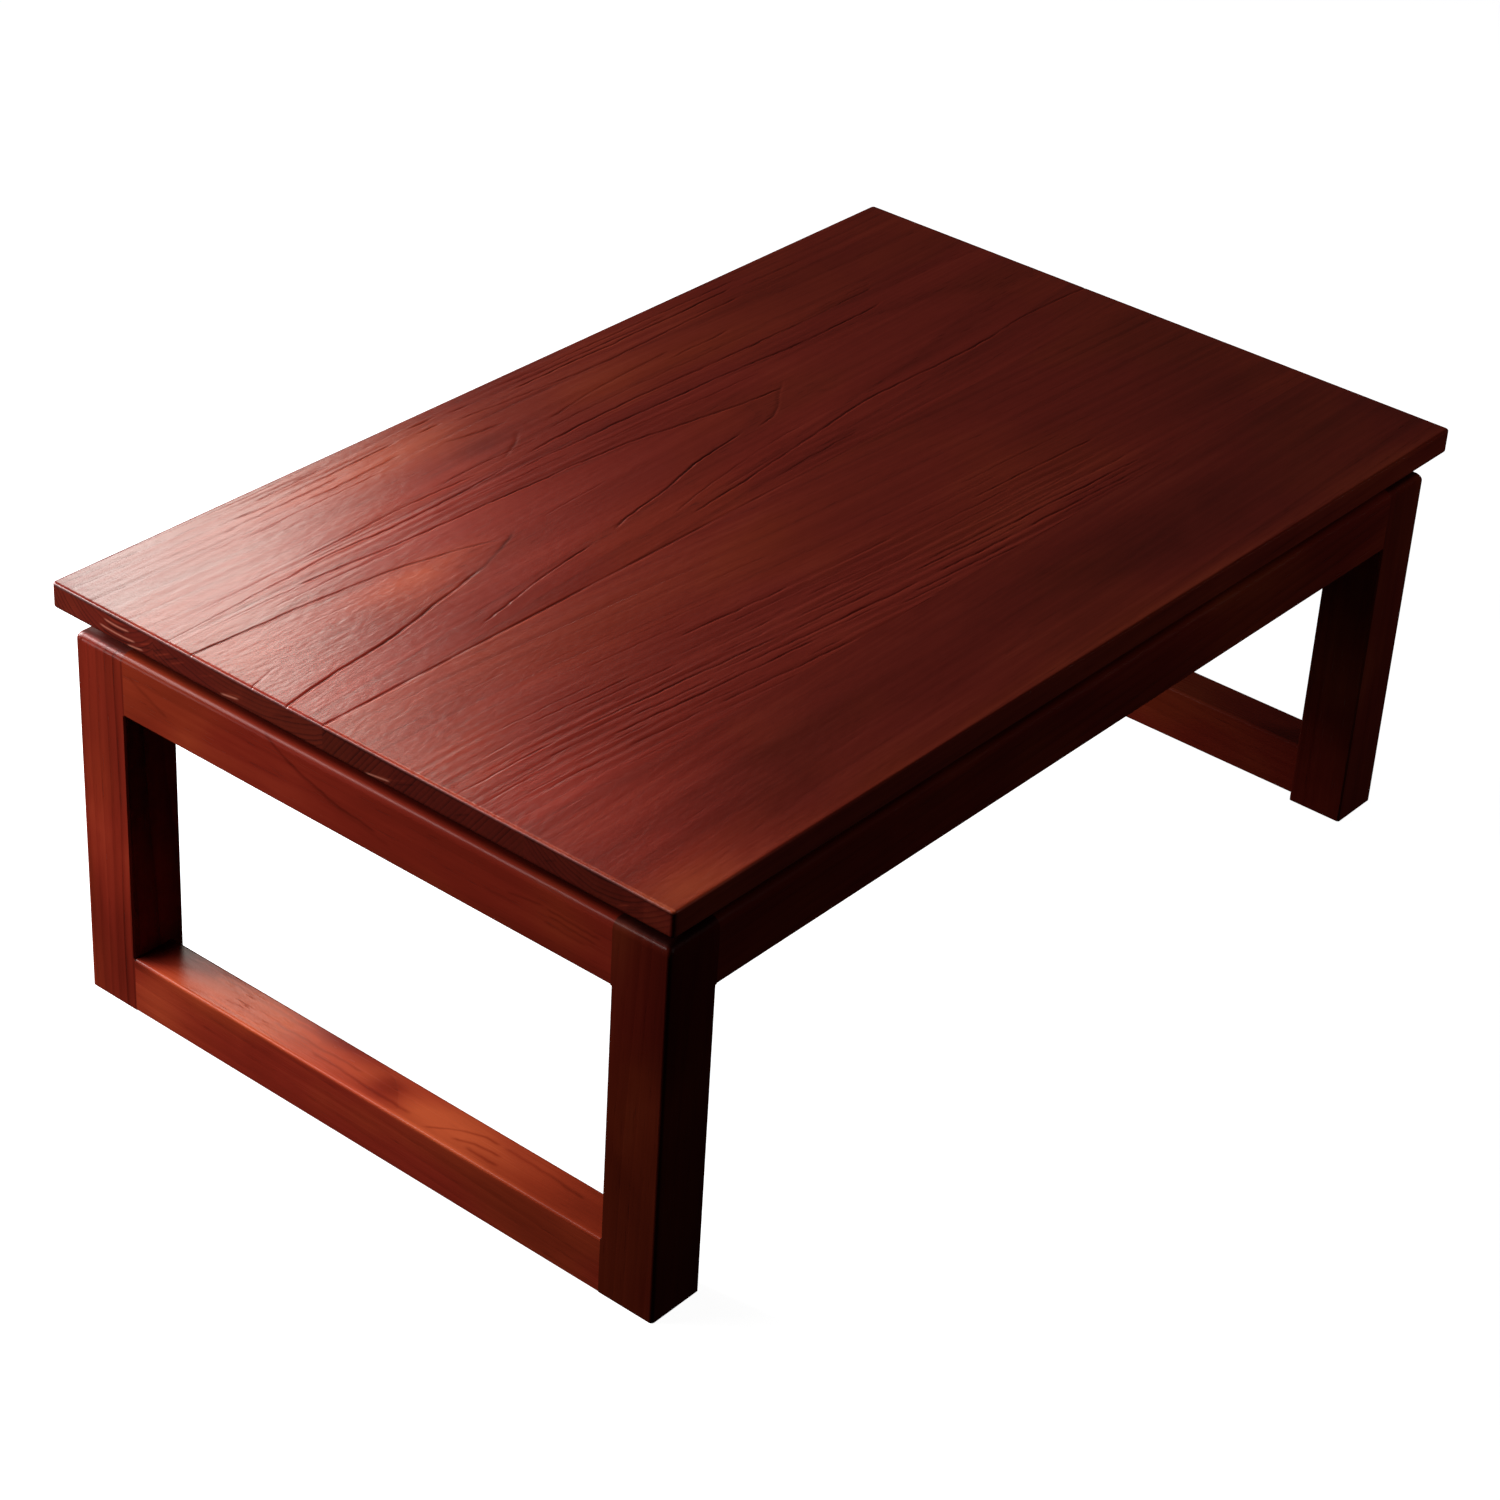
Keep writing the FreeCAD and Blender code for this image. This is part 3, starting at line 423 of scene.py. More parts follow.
def lie(x):
    """How far the fibres of the middle front board have wandered sideways at x."""
    return np.interp(x, (-400, -330, -280, -150, -50, 50, 200, 400), (0.0, 1.0, 4.0, 16.0, 24.3, 30.6, 38.1, 46.6))


def rings_front(x, y, z):
    return np.hypot(y + 188.0 - 0.02 * x, 60.0 + 0.02 * x + (TOP - z)), y - 0.02 * x


def rings_mid_front(x, y, z):
    flow = y + lie(x)
    return 0.80 * (flow + 200.0) + 0.60 * (z - TOP), flow


def rings_mid_back(x, y, z):
    side = y - 95.0 - 0.022 * (x + 100.0)
    return np.hypot(side, 150.0 + 0.024 * (x + 166.0) + (TOP - z)), side


def rings_back(x, y, z):
    side = y - 193.0 + 4.0 * np.sin((x + 400.0) / 90.0)
    return np.hypot(side, 26.0 + 0.010 * (x + 400.0) + (TOP - z)), side


# lines of open grain: points (x, y), depth, width
ARCHES = [
    ([(-430, 42), (-367, 52), (-300, 59), (-261, 67), (-227, 73), (-206, 78.2)], 0.85, 1.20),
    ([(-232, 72), (-218, 75.2), (-190, 83), (-170, 90.5), (-152, 98)], 0.07, 1.60),
    ([(-430, 128), (-395, 127), (-300, 121), (-250, 116), (-215, 109), (-190, 103), (-166, 93)], 0.48, 0.90),
    ([(-300, 143), (-225, 136.5), (-180, 134), (-135, 133), (-100, 130.5), (-50, 128.5), (-20, 126), (25, 119), (75, 110), (124, 105)], 0.46, 0.90),
    ([(-255, 31), (-200, 42), (-165, 48), (-130, 51)], 0.44, 0.80),
    ([(-112, 52), (-98, 57), (-50, 65), (-10, 75), (52, 82)], 0.52, 0.80),
    ([(62, 80), (85, 84), (97, 91), (110, 101), (130, 113)], 0.34, 0.90),
    ([(-420, 69), (-396, 77), (-372, 84)], 0.46, 0.80),
    ([(-60, 33), (-10, 37), (40, 42), (90, 48), (130, 53), (220, 53), (270, 52.5), (320, 57), (355, 57), (430, 53)], 0.36, 1.00),
    ([(10, 26), (60, 29), (110, 30)], 0.24, 0.80),
    ([(-20, 40), (20, 44), (60, 46)], 0.22, 0.80),
    ([(-430, 142.5), (-330, 142), (-290, 141)], 0.26, 0.80),
    ([(-430, 148), (-360, 150), (-300, 153), (-260, 155.5), (-200, 153), (-120, 156), (-96, 157.5)], 0.40, 0.80),
    ([(-95, 150.5), (-40, 150), (0, 149), (50, 147), (100, 146), (150, 142), (210, 139.5), (275, 141)], 0.42, 0.85),
    ([(-330, 134), (-270, 133), (-215, 131)], 0.18, 0.80),
    ([(-180, 146), (-110, 144), (-50, 142)], 0.20, 0.80),
    ([(-40, 139), (20, 137), (80, 132), (130, 131)], 0.20, 0.80),
    ([(-350, 106), (-315, 105), (-285, 103)], 0.14, 0.80),
    ([(-130, 96), (-100, 99), (-60, 100)], 0.12, 0.90),
    ([(-70, 41), (-20, 50), (30, 57), (90, 62)], 0.20, 0.80),
]
SOFT_LINES = [
    ([(-430, 157), (-395, 158), (-360, 157)], 0.26, 0.80),
    ([(-92, 167), (-70, 176), (-52, 189)], 0.26, 1.40),
    ([(-275, 163.5), (-230, 165), (-205, 166), (-170, 166), (-110, 164)], 0.40, 0.80),
    ([(-372, 161.5), (-320, 162), (-290, 163)], 0.26, 0.80),
    ([(-75, 161), (-40, 163), (30, 164.5), (100, 163), (190, 160.8), (290, 161.2)], 0.40, 0.90),
    ([(-275, 230), (-250, 228), (-190, 229.5), (-120, 231)], 0.36, 0.80),
    ([(-290, 221), (-240, 222), (-180, 222.5)], 0.24, 0.80),
    ([(-250, 237), (-180, 238.5)], 0.34, 0.80),
    ([(-290, 207), (-230, 208), (-160, 209)], 0.20, 0.80),
    ([(-108, 239), (-95, 238.5), (-78, 238)], 0.42, 0.80),
    ([(-75, 237), (-45, 235)], 0.40, 0.80),
    ([(-108, 230), (-80, 230)], 0.36, 0.80),
    ([(-75, 225), (-40, 222), (0, 219), (60, 215), (140, 217), (210, 217)], 0.34, 0.95),
    ([(-20, 231), (40, 230), (110, 229.5), (215, 230.5)], 0.44, 0.80),
    ([(-10, 235), (60, 234), (150, 233)], 0.30, 0.75),
    ([(-20, 240), (30, 239.5), (90, 239), (160, 238), (230, 238)], 0.32, 0.80),
    ([(225, 227), (290, 226)], 0.20, 0.80),
    ([(-270, 215), (-190, 215), (-130, 218)], 0.24, 1.10),
    ([(-105, 210), (-80, 205), (-48, 201)], 0.26, 1.30),
    ([(-30, 184), (10, 190), (60, 194), (110, 195)], 0.24, 1.20),
    ([(95, 187), (165, 188)], 0.30, 1.10),
    ([(-40, 176), (30, 177), (110, 175), (170, 174)], 0.18, 0.90),
    ([(-150, 171), (-100, 172), (-50, 171)], 0.22, 0.80),
    ([(225, 166), (300, 167)], 0.16, 0.90),
]
# the middle front board's lines follow its fibres: sideways place, depth, and the stretches where they open up
FINE_LINES = [
    (-12.0, 0.12, [(-330, -270), (-120, -60)]),
    (-20.0, 0.12, [(-270, -190)]),
    (-30.0, 0.22, [(-200, -120), (95, 205)]),
    (-39.0, 0.16, [(-250, -160), (40, 130)]),
    (-48.3, 0.46, [(-182, -82), (-54, 14), (84, 216)]),
    (-56.0, 0.24, [(-340, -250), (-150, -40), (0, 120)]),
    (-63.5, 0.32, [(-320, -230), (-200, -150), (-90, -10), (30, 200)]),
    (-70.5, 0.36, [(-366, -330), (-290, -200), (-180, -118), (-60, 20), (44, 172)]),
    (-77.8, 0.36, [(-268, -200), (-180, -130), (-120, -20), (0, 60), (70, 210)]),
    (-82.0, 0.24, [(-380, -300), (-240, -170), (-100, -30), (0, 80), (100, 170)]),
    (-86.8, 0.48, [(-400, -316), (-306, -134), (-128, -46), (-14, 214)]),
    (-91.5, 0.26, [(-330, -250), (-200, -130), (30, 90), (120, 200)]),
    (-96.6, 0.46, [(-336, -308), (-270, -200), (-176, -18), (-8, 72), (78, 212)]),
    (-100.5, 0.26, [(-390, -330), (-240, -180), (-150, -60), (100, 190)]),
    (-103.8, 0.48, [(-420, -350), (-292, -120), (-40, 60)]),
    (-108.3, 0.34, [(-330, -260), (-60, 0), (14, 66), (74, 200)]),
    (-114.0, 0.28, [(-390, -330), (-240, -170), (-146, -104), (-40, 20), (60, 120)]),
    (-118.8, 0.34, [(-368, -308), (-296, -228), (-226, -100)]),
    (-126.0, 0.20, [(-230, -150), (-90, -20)]),
    (-132.0, 0.16, [(-320, -250), (-140, -80)]),
]
# broad changes of the stain, and painted light and shade where the light falls unevenly on the top, such as the darker
# right end: centre x, y, reach in x, y, lighter or darker, warmer or cooler
STAIN_AND_LIGHT_PATCHES = [
    (-385, -236, 45, 20, 0.12, 0.6),
    (60, -246, 460, 10, 0.07, 0.4),
    (190, -195, 230, 24, -0.08, 0.0),
    (-220, -188, 80, 20, -0.09, -0.1),
    (365, -80, 60, 110, -0.10, 0.1),
    (-120, 214, 75, 24, 0.08, 0.4),
    (31, 195, 60, 22, 0.06, 0.5),
    (122, 180, 60, 16, 0.04, 0.4),
    (-219, -16, 90, 30, 0.05, 0.4),
    (-49, -16, 110, 26, 0.03, 0.3),
    (-240, 100, 60, 13, 0.10, 0.45),
    (-89, 188, 26, 13, -0.12, -0.1),
    (-355, -26, 45, 16, -0.08, -0.2),
    (-60, 95, 120, 26, -0.04, -0.1),
    (250, 80, 120, 60, -0.02, -0.1),
    (-20, -115, 240, 20, 0.05, 0.0),
    (0, -153, 600, 16, 0.05, 0.0),
    (-150, 228, 110, 22, 0.10, 0.1),
    (-390, 235, 60, 40, -0.10, 0.0),
    (60, 180, 120, 20, -0.06, 0.0),
    (260, 205, 150, 45, -0.06, 0.0),
    (60, 230, 130, 20, 0.08, 0.1),
    (-250, 90, 45, 30, 0.07, 0.2),
    (-320, -75, 45, 60, -0.05, 0.0),
    (-270, -225, 60, 24, -0.09, 0.0),
    (120, -70, 60, 40, 0.05, 0.1),
    (340, 85, 60, 30, 0.05, 0.0),
    (225, 60, 50, 24, -0.05, 0.0),
    (150, 95, 40, 20, -0.05, 0.0),
    (300, -140, 50, 30, -0.05, 0.0),
    (30, -20, 60, 20, -0.04, 0.0),
]
# the sawn ends: a dark line under the rounded edge, dark streaks of end grain, pale streaks of end grain painted bright
# as glints, and a broad pale band of painted light at the front corner, in metres of y and z
END_GRAIN_AND_GLINTS = {
    "top_board_back": [
        (0.180, 0.204, (0.2941, -0.132, 5.5), 0.0006, 0.85),
        (0.175, 0.208, (0.2888, -0.097, 2.94), 0.0006, 0.85),
        (0.168, 0.184, (0.2858, -0.107, 0.0), 0.0006, 0.75),
        (0.183, 0.202, (0.2912, -0.110, 5.5), 0.0008, -0.25),
        (0.178, 0.206, (0.2860, -0.100, 3.5), 0.0008, -0.25),
        (0.184, 0.200, (0.2968, -0.100, 5.5), 0.0008, 0.20),
        (0.161, 0.173, (0.2938, -0.45, 0.0), 0.0007, 0.32),
        (0.160, 0.168, (0.2912, -0.45, 0.0), 0.0006, -0.28),
    ],
    "top_board_mid_back": [
        (0.144, 0.160, (0.2938, -0.50, 0.0), 0.0007, 0.30),
        (0.150, 0.160, (0.2942, -0.50, 0.0), 0.0006, -0.25),
        (0.131, 0.147, (0.2935, -0.50, 0.0), 0.0007, 0.24),
        (0.136, 0.152, (0.2942, -0.50, 0.0), 0.0006, -0.22),
        (0.086, 0.103, (0.2869, -0.16, 0.0), 0.0006, 0.75),
        (0.084, 0.099, (0.2892, -0.20, 0.0), 0.0006, 0.25),
        (0.106, 0.122, (0.2945, -0.42, 0.0), 0.0006, 0.14),
        (0.040, 0.060, (0.2950, -0.35, 0.0), 0.0006, -0.14),
    ],
    "top_board_mid_front": [
        (-0.0375, -0.016, (0.2873, -0.153, 0.0), 0.0006, 0.75),
        (-0.0400, -0.026, (0.2893, -0.20, 0.0), 0.0006, 0.25),
        (-0.052, -0.034, (0.2945, -0.42, 0.0), 0.0006, 0.16),
        (-0.058, -0.040, (0.2945, -0.42, 0.0), 0.0006, -0.16),
        (-0.100, -0.086, (0.2935, -0.45, 0.0), 0.0006, -0.16),
    ],
    "top_board_front": [
        (-0.252, -0.226, (0.2910, 0.0, 0.0), 0.0080, 0.16),
        (-0.219, -0.2085, (0.2900, -0.47, 0.0), 0.0008, 0.36),
        (-0.226, -0.214, (0.2905, -0.47, 0.0), 0.0007, -0.20),
        (-0.1970, -0.1930, (0.2865, -1.0, 0.0), 0.0010, 0.36),
        (-0.166, -0.154, (0.2940, -0.47, 0.0), 0.0007, -0.16),
    ],
}
BOARDS = {
    "top_board_front": (-250.0, -140.0, rings_front, 9.0),
    "top_board_mid_front": (-140.0, 17.5, rings_mid_front, 8.2),
    "top_board_mid_back": (17.5, 160.0, rings_mid_back, 6.5),
    "top_board_back": (160.0, 250.0, rings_back, 7.0),
}


def grain(name, x, y):
    """Relief of the board's face at the grid points, how dark each of them is painted, along the lines of grain and the
    joint and as painted shade in the valleys between ridges, and how much painted highlight it gets on a lip.
    """
    relief, cut, painted_lip_light = np.zeros_like(x), np.zeros_like(x), np.zeros_like(x)
    if name == "top_board_mid_back":
        for k, (points, depth, width) in enumerate(ARCHES):
            carve(x, y, relief, cut, painted_lip_light, points, depth, width, seed=100 + 7 * k, near=1.0 if depth > 0.45 or width > 1.5 else 0.25, calm=240.0)
    if name == "top_board_back":
        for k, (points, depth, width) in enumerate(SOFT_LINES):
            carve(x, y, relief, cut, painted_lip_light, points, depth, width, seed=300 + 7 * k, near=0.15, calm=330.0)
    if name == "top_board_mid_front":
        for k, (place, depth, stretches) in enumerate(FINE_LINES):
            for j, (start, stop) in enumerate(stretches):
                at = np.linspace(start, stop, 6)
                carve(x, y, relief, cut, painted_lip_light, list(zip(at, place - lie(at))), 0.8 * depth, 0.90, seed=500 + 31 * k + 7 * j, near=0.35)
        # between them the fibres stand in even ridges
        flow = y + lie(x)
        swell = np.clip(0.55 + 0.75 * ripple(x, flow, 75.0, 9.0, 31), 0.0, 1.0) * ease((flow + 136.0) / 22.0) * ease((-36.0 - flow) / 22.0) * ease((270.0 - x) / 120.0) * (0.35 + 0.65 * ease((x + 400.0) / 130.0))
        wave = np.cos(2 * math.pi * (flow + 1.6 * ripple(x, flow, 60.0, 20.0, 32)) / 7.2)
        relief += 0.140 * swell * wave
        # the valleys between the ridges are painted darker: painted shade
        cut = np.maximum(cut, 0.32 * swell * np.clip(-wave, 0.0, 1.0) ** 2)
    if name == "top_board_mid_back":
        flow = y + 0.025 * (x + 100.0) * ease((x + 220.0) / 200.0)
        swell = np.clip(0.45 + 0.8 * ripple(x, flow, 80.0, 9.0, 33), 0.0, 1.0) * (ease((flow - 122.0) / 14.0) + ease((54.0 - flow) / 14.0) * ease((x + 150.0) / 90.0)) * ease((330.0 - x) / 120.0) * (0.25 + 0.75 * ease((x + 400.0) / 180.0))
        wave = np.cos(2 * math.pi * (flow + 1.4 * ripple(x, flow, 60.0, 20.0, 34)) / 6.8)
        relief += 0.080 * swell * wave
        # the valleys between the ridges are painted darker: painted shade
        cut = np.maximum(cut, 0.26 * swell * np.clip(-wave, 0.0, 1.0) ** 2)
    if name == "top_board_back":
        swell = np.clip(0.35 + 0.8 * ripple(x, y, 80.0, 9.0, 35), 0.0, 1.0) * (ease((y - 202.0) / 12.0) + ease((172.0 - y) / 8.0)) * ease((330.0 - x) / 120.0) * (0.25 + 0.75 * ease((x + 400.0) / 180.0))
        wave = np.cos(2 * math.pi * (y + 1.4 * ripple(x, y, 60.0, 20.0, 36)) / 6.6)
        relief += 0.070 * swell * wave
        # the valleys between the ridges are painted darker: painted shade
        cut = np.maximum(cut, 0.22 * swell * np.clip(-wave, 0.0, 1.0) ** 2)
    # the joint at the middle of the top has opened a little over its left half
    if name in ("top_board_mid_front", "top_board_mid_back"):
        depth = np.interp(x, (-400, -250, -60, 60, 140), (0.46, 0.40, 0.30, 0.12, 0.0)) * np.clip(0.80 + 0.35 * ripple(x, 0 * x, 40.0, 1.0, 77) + 0.25 * ripple(x, 0 * x, 12.0, 1.0, 78), 0.1, 1.2)
        bell = np.exp(-(((y - 17.5) / 0.9) ** 2))
        lip = np.exp(-(((y - 15.6) / 1.0) ** 2))
        relief += depth * (0.10 * lip - bell)
        # the joint's lip is painted paler too: a painted highlight
        painted_lip_light = np.maximum(painted_lip_light, lip * depth / 0.5)
        cut = np.maximum(cut, np.clip(bell * depth / 0.5, 0.0, 1.0))
    # wood that has been planed, brushed and lacquered is never quite flat
    relief += 0.022 * ripple(x, y, 46.0, 7.0, 11) + 0.014 * ripple(x, y, 13.0, 2.6, 12) + 0.024 * ripple(x, y, 5.5, 3.4, 13)
    return np.minimum(relief - 0.20, 0.0), cut, painted_lip_light


def place_on_slab(x, y, low, high):
    """How far past the corner's centre, and in which outward direction in plan, the points on the square grid of a
    board lie.
    """
    out_x = np.maximum(np.abs(x) - (HALF_X - CORNER), 0.0)
    out_y = np.zeros_like(y)
    if low <= -HALF_Y:
        out_y = np.maximum(-(HALF_Y - CORNER) - y, 0.0)
    if high >= HALF_Y:
        out_y = np.maximum(y - (HALF_Y - CORNER), 0.0)
    reach = np.maximum(out_x, out_y)
    length = np.hypot(out_x, out_y) + 1e-12
    way_x, way_y = out_x / length * np.sign(x), out_y / length * np.sign(y)
    return reach, way_x, way_y


def profile(reach):
    """Distance out from the corner's centre and drop from the face, for a rounded edge."""
    turn = np.maximum(reach - (CORNER - EDGE), 0.0) / EDGE * (math.pi / 2)
    return np.minimum(reach, CORNER - EDGE) + EDGE * np.sin(turn), EDGE * (1 - np.cos(turn)), np.cos(turn)


def build_board(name, low, high, rings):
    core_x = np.linspace(-(HALF_X - CORNER), HALF_X - CORNER, 356)
    past = HALF_X - CORNER + LEVELS
    gx = np.concatenate((-past[::-1], core_x, past))
    from_y, to_y = low, high
    head, tail = np.zeros(0), np.zeros(0)
    if low <= -HALF_Y:
        from_y, head = low + CORNER, -(HALF_Y - CORNER + LEVELS)[::-1]
    if high >= HALF_Y:
        to_y, tail = high - CORNER, HALF_Y - CORNER + LEVELS
    gy = np.concatenate((head, np.linspace(from_y, to_y, int(round((to_y - from_y) / 0.42)) + 1), tail))
    nx, ny = len(gx), len(gy)
    x, y = np.meshgrid(gx, gy, indexing="ij")

    relief, cut, painted_lip_light = grain(name, x, y)
    reach, way_x, way_y = place_on_slab(x, y, low, high)
    radial, drop, level = profile(reach)
    base_x = np.clip(x, -(HALF_X - CORNER), HALF_X - CORNER)
    base_y = np.clip(y, from_y, to_y)
    px = np.where(reach > 0, base_x + radial * way_x, x)
    py = np.where(reach > 0, base_y + radial * way_y, y)
    pz = TOP - drop + relief * level
    points = [np.stack((px, py, pz), -1).reshape(-1, 3)]
    cuts = [(cut * level).reshape(-1)]
    count = nx * ny
    index = np.arange(count).reshape(nx, ny)
    quads = [np.stack((index[:-1, :-1], index[1:, :-1], index[1:, 1:], index[:-1, 1:]), -1).reshape(-1, 4)]

    # the border, anticlockwise seen from above, and the walls below it
    loop = [(i, 0) for i in range(nx - 1)] + [(nx - 1, j) for j in range(ny - 1)] + [(i, ny - 1) for i in range(nx - 1, 0, -1)] + [(0, j) for j in range(ny - 1, 0, -1)]
    bi, bj = np.array(loop).T
    steps = 12
    column = [index[bi, bj]]
    for s in range(1, steps + 1):
        t = s / steps
        z = (1 - t) * pz[bi, bj] + t * (UNDER + drop[bi, bj])
        points.append(np.stack((px[bi, bj], py[bi, bj], z), -1))
        cuts.append(np.zeros(len(bi)))
        column.append(np.arange(count, count + len(bi)))
        count += len(bi)
    for upper, lower in zip(column[:-1], column[1:]):
        quads.append(np.stack((upper, lower, np.roll(lower, -1), np.roll(upper, -1)), -1))
    foot = {pair: int(v) for pair, v in zip(loop, column[-1])}

    # the rounded lower edge, along the sides on the slab's outline
    left, right = [(0, j) for j in range(ny)], [(nx - 1, j) for j in range(ny)]
    if low <= -HALF_Y:
        chains = [left[::-1] + [(i, 0) for i in range(1, nx - 1)] + right]
    elif high >= HALF_Y:
        chains = [right + [(i, ny - 1) for i in range(nx - 2, 0, -1)] + left[::-1]]
    else:
        chains = [right, left[::-1]]
    inner = {}
    depth = len(LEVELS)
    for chain in chains:
        ci, cj = np.array(chain).T
        before = np.array([foot[p] for p in chain])
        for s in range(depth - 2, -1, -1):
            r, d, _ = profile(np.full(len(chain), LEVELS[s]))
            ring_points = np.stack((base_x[ci, cj] + r * way_x[ci, cj], base_y[ci, cj] + r * way_y[ci, cj], UNDER + d), -1)
            now = np.arange(count, count + len(chain))
            # both ends of the chain run into the square side of the neighbouring joint
            for end in (0, -1):
                i, j = chain[end]
                now[end] = foot[(depth - 1 - s, j) if i == 0 else (nx - 1 - (depth - 1 - s), j)]
            now[1:-1] = np.arange(count, count + len(chain) - 2)
            points.append(ring_points[1:-1])
            cuts.append(np.zeros(len(chain) - 2))
            count += len(chain) - 2
            quads.append(np.stack((before[:-1], now[:-1], now[1:], before[1:]), -1))
            before = now
        for pair, v in zip(chain, before):
            inner[pair] = int(v)
    chained = {p for chain in chains for p in chain}
    under = []
    for i, j in loop:
        if (i, j) in chained and (i, j) not in {c[0] for c in chains} | {c[-1] for c in chains}:
            under.append(inner[(i, j)])
        elif (i, j) not in chained and depth - 1 <= i <= nx - depth:
            under.append(foot[(i, j)])
    where = np.concatenate(points)
    faces = np.concatenate(quads).tolist() + [under[::-1]]

    mesh = bpy.data.meshes.new(name + "_carved")
    mesh.from_pydata((where * 0.001).tolist(), [], faces)
    rho, fibre = rings(where[:, 0], where[:, 1], where[:, 2])
    rho = rho + 0.5 * ripple(where[:, 0], where[:, 1], 70.0, 16.0, 21) + 0.25 * ripple(where[:, 0], where[:, 1], 24.0, 6.0, 22)
    shade, warmth = np.zeros(len(where)), np.zeros(len(where))
    # the lips of the lines are painted paler: a painted highlight
    shade[: nx * ny] += 0.22 * painted_lip_light.reshape(-1)
    # the upper edge of the ends is painted paler and warmer, a painted highlight, most towards the front
    painted_edge_light = np.where(np.abs(way_x) > 0.5, np.sin(np.clip(reach / CORNER, 0.0, 1.0) * math.pi), 0.0)
    painted_edge_light = painted_edge_light * np.interp(y, (-110.0, 30.0), (1.0, 0.25))
    shade[: nx * ny] += 0.30 * painted_edge_light.reshape(-1)
    warmth[: nx * ny] += 0.25 * painted_edge_light.reshape(-1)
    for cx, cy, rx, ry, lighter, warmer in STAIN_AND_LIGHT_PATCHES:
        bell = np.exp(-(((where[:, 0] - cx) / rx) ** 2) - ((where[:, 1] - cy) / ry) ** 2)
        shade += lighter * bell
        warmth += warmer * bell
    for key, values in (("rho", rho * 0.001), ("fibre", fibre * 0.001), ("groove_and_valley_shade", np.concatenate(cuts)), ("shade", shade), ("warmth", warmth)):
        layer = mesh.attributes.new(key, "FLOAT", "POINT")
        layer.data.foreach_set("value", np.ascontiguousarray(values, dtype=np.float32))
    mesh.polygons.foreach_set("use_smooth", np.ones(len(mesh.polygons), dtype=bool))
    mesh.set_sharp_from_angle(angle=math.radians(50))
    # the face, the underside and the two sawn ends have a wood of their own
    facing = np.zeros(len(mesh.polygons) * 3)
    mesh.polygons.foreach_get("normal", facing)
    kinds = np.where(np.abs(facing[0::3]) > 0.6, 2, 0)
    kinds[: len(quads[0])] = 0
    kinds[-1] = 1
    mesh.update()
    obj = bpy.data.objects.new(name + "_carved", mesh)
    scene.collection.objects.link(obj)
    return obj, kinds


# each board's face and sawn end have their own tone, set to the brightness each shows: partly the boards' own tones and
# partly painted shade, mostly darker towards the front
TOP_TONE = {"top_board_front": (0.71, 0.50), "top_board_mid_front": (0.85, 0.46), "top_board_mid_back": (0.91, 0.54), "top_board_back": (0.89, 0.66)}
for k, (name, (low, high, rings, spacing)) in enumerate(BOARDS.items()):
    board, kinds = build_board(name, low, high, rings)
    face, sawn = TOP_TONE[name]
    dress(board, wood("wood_" + name, "x", (0, 0, 0), (0, 0), spacing * 0.001, 41.0 + k, carved=True, tone=face, ring=0.10, streaks=0.30, bands=0.42 if name == "top_board_front" else 0.26, blots=0.42 if name == "top_board_front" else 0.26, warmth=0.35, gloss=0.22, shine=0.5, bump=0.2))
    board.data.materials.append(wood("wood_under_" + name, "x", (0.0, 0.094, 0.45), (0.0, 0.024), spacing * 0.001, 51.0 + k, tone=0.9, gloss=0.4))
    board.data.materials.append(wood("wood_end_" + name, "x", (0, 0, 0), (0, 0), 0.0032, 61.0 + k, carved=True, sawn=True, tone=sawn, ring=0.30, streaks=0.20, bands=0.20, blots=0.30, warmth=0.5, gloss=0.40, shine=0.06, bump=0.2, strokes=END_GRAIN_AND_GLINTS[name] + [(-0.26, 0.26, (0.2985, 0.0, 0.0), 0.0009, -0.30)], side=2, run=1))
    board.data.polygons.foreach_set("material_index", kinds.astype(np.int32))
    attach(board, "root")
    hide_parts(name)
    dress(nodes[name], board.data.materials[1])


# ---------------------------------------------------------------- floor, light, camera
def flat_mesh(name, corners):
    mesh = bpy.data.meshes.new(name)
    mesh.from_pydata(corners, [], [tuple(range(len(corners)))])
    obj = bpy.data.objects.new(name, mesh)
    scene.collection.objects.link(obj)
    return obj


floor = flat_mesh("floor", [(-9, -9, -0.0004), (9, -9, -0.0004), (9, 9, -0.0004), (-9, 9, -0.0004)])
n = Net("floor_paper")
place = n.add("ShaderNodeTexCoord").outputs["Object"]
weave = n.noise(place, scale=60.0, detail=2.0).outputs[0]
shade = n.ramp(weave, [(0.3, (0.80, 0.80, 0.80)), (0.7, (0.84, 0.84, 0.84))])
matt = n.add("ShaderNodeBsdfDiffuse")
n.put(matt.inputs[0], shade)
glow = n.add("ShaderNodeEmission")
n.put(glow.inputs["Strength"], 0.95)
both = n.add("ShaderNodeAddShader")
n.put(both.inputs[0], matt.outputs[0])
n.put(both.inputs[1], glow.outputs[0])
out = n.add("ShaderNodeOutputMaterial")
n.put(out.inputs[0], both.outputs[0])
n.mat.cycles.emission_sampling = "NONE"
dress(floor, n.mat)
floor.visible_diffuse = False
floor.visible_glossy = False
floor.visible_transmission = False

camera = bpy.data.cameras.new("camera")
camera.sensor_width = 36.0
camera.lens = 89.74
eye = bpy.data.objects.new("camera", camera)
scene.collection.objects.link(eye)
right = (0.642706, -0.764308, 0.052566)
down = (-0.381148, -0.378518, -0.843475)
ahead = (0.664572, 0.522071, -0.534590)
eye.matrix_world = Matrix((
    (right[0], -down[0], -ahead[0], -1.668957),
    (right[1], -down[1], -ahead[1], -1.290991),
    (right[2], -down[2], -ahead[2], 1.443929),
    (0.0, 0.0, 0.0, 1.0),
))
scene.camera = eye
scene.view_settings.view_transform = "Standard"
scene.view_settings.look = "None"

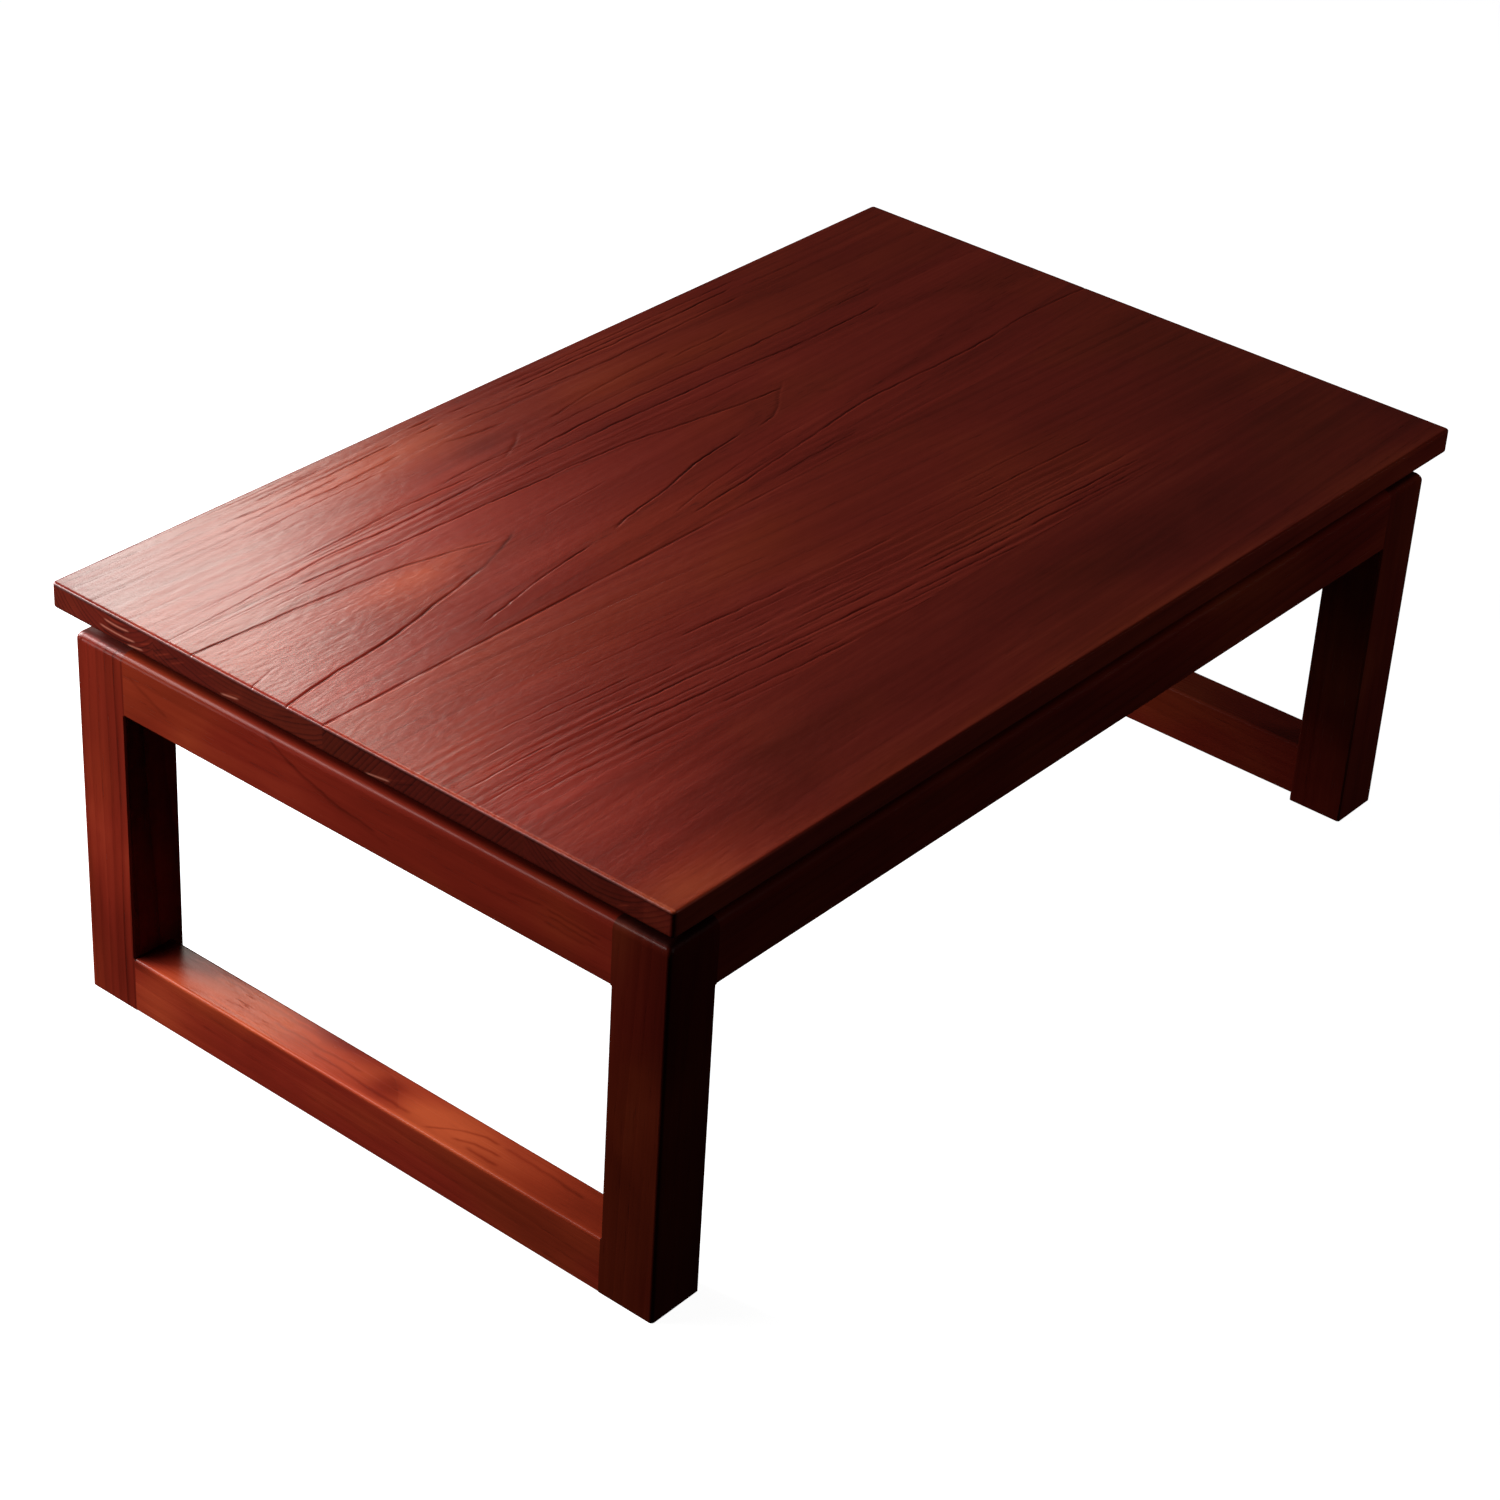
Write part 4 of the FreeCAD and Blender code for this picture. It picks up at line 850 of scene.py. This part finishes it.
world = bpy.data.worlds.new("studio")
scene.world = world
world.use_nodes = True
tree = world.node_tree
tree.nodes.clear()
path = tree.nodes.new("ShaderNodeLightPath")
seen = tree.nodes.new("ShaderNodeBackground")
seen.inputs["Strength"].default_value = 1.0
fill = tree.nodes.new("ShaderNodeBackground")
fill.inputs["Strength"].default_value = 0.005
pick = tree.nodes.new("ShaderNodeMixShader")
tree.links.new(path.outputs["Is Camera Ray"], pick.inputs[0])
tree.links.new(fill.outputs[0], pick.inputs[1])
tree.links.new(seen.outputs[0], pick.inputs[2])
sky = tree.nodes.new("ShaderNodeOutputWorld")
tree.links.new(pick.outputs[0], sky.inputs[0])


def softbox(name, place, aim, wide, high, power, roll=0.0):
    data = bpy.data.lights.new(name, "AREA")
    data.shape = "RECTANGLE"
    data.size = wide
    data.size_y = high
    data.energy = power
    lamp = bpy.data.objects.new(name, data)
    scene.collection.objects.link(lamp)
    lamp.location = place
    lamp.rotation_euler = ((Vector(aim) - Vector(place)).to_track_quat("-Z", "Y") @ Quaternion((0, 0, 1), math.radians(roll))).to_euler()
    lamp.visible_camera = False
    return lamp


panes = [
    softbox("pane_left", (0.38, 1.25, 0.98), (0.05, 0.10, 0.35), 0.26, 0.26, 1.36),
    softbox("pane_middle", (0.60, 1.25, 1.10), (0.05, 0.10, 0.35), 0.22, 0.34, 1.188),
    softbox("pane_high", (0.71, 1.25, 1.36), (0.05, 0.10, 0.35), 0.22, 0.26, 0.342),
    softbox("pane_right", (0.72, 1.25, 1.02), (0.05, 0.10, 0.35), 0.20, 0.24, 0.336),
    softbox("pane_top", (0.86, 1.25, 1.65), (0.05, 0.10, 0.35), 0.20, 0.26, 0.523),
    softbox("pane_glow", (0.60, 1.25, 1.30), (0.05, 0.10, 0.35), 0.90, 0.90, 0.21),
    softbox("haze", (1.50, 1.00, 1.50), (0.10, 0.00, 0.30), 1.40, 1.40, 0.13),
]
softbox("window_left", (-0.75, 1.25, 0.75), (-0.52, 0.10, 0.30), 0.40, 0.40, 16.0)
softbox("window_back", (-0.45, 1.25, 0.45), (-0.38, 0.10, 0.30), 0.30, 0.30, 3.2)
softbox("window_far", (-1.05, 1.25, 1.05), (-0.65, 0.10, 0.30), 0.30, 0.30, 4.7)
softbox("side_left", (-1.10, 0.90, 0.80), (-0.35, 0.34, 0.20), 0.30, 0.45, 3.2)
softbox("side_high", (-1.10, 0.55, 0.97), (-0.35, 0.20, 0.20), 0.40, 0.28, 1.8)
softbox("low_left", (-1.10, 0.90, 0.10), (-0.35, 0.36, 0.20), 0.30, 0.28, 0.7)
softbox("front_fill", (0.30, -1.40, 1.20), (0.10, -0.20, 0.20), 0.80, 0.80, 0.55)
keys = [
    softbox("front_right", (0.95, -0.95, 0.55), (0.35, -0.25, 0.20), 0.40, 0.40, 1.1),
    softbox("key_edge", (-0.38, 0.03, 0.42), (-0.38, 0.031, 0.30), 0.04, 0.26, 0.170),
    softbox("key_near", (-0.38, -0.14, 0.42), (-0.38, -0.139, 0.30), 0.04, 0.16, 0.060),
    softbox("key_corner", (-0.38, -0.23, 0.39), (-0.38, -0.229, 0.30), 0.04, 0.04, 0.012),
    softbox("key_back", (-0.235, 0.185, 0.42), (-0.235, 0.186, 0.30), 0.20, 0.14, 0.175),
]
for lamp in panes:
    lamp.visible_diffuse = False
    lamp.data.color = (1.0, 0.96, 0.84)
panes[0].data.color = (1.0, 0.985, 0.94)
panes[1].data.color = (1.0, 0.975, 0.89)
for lamp in keys:
    lamp.visible_glossy = False
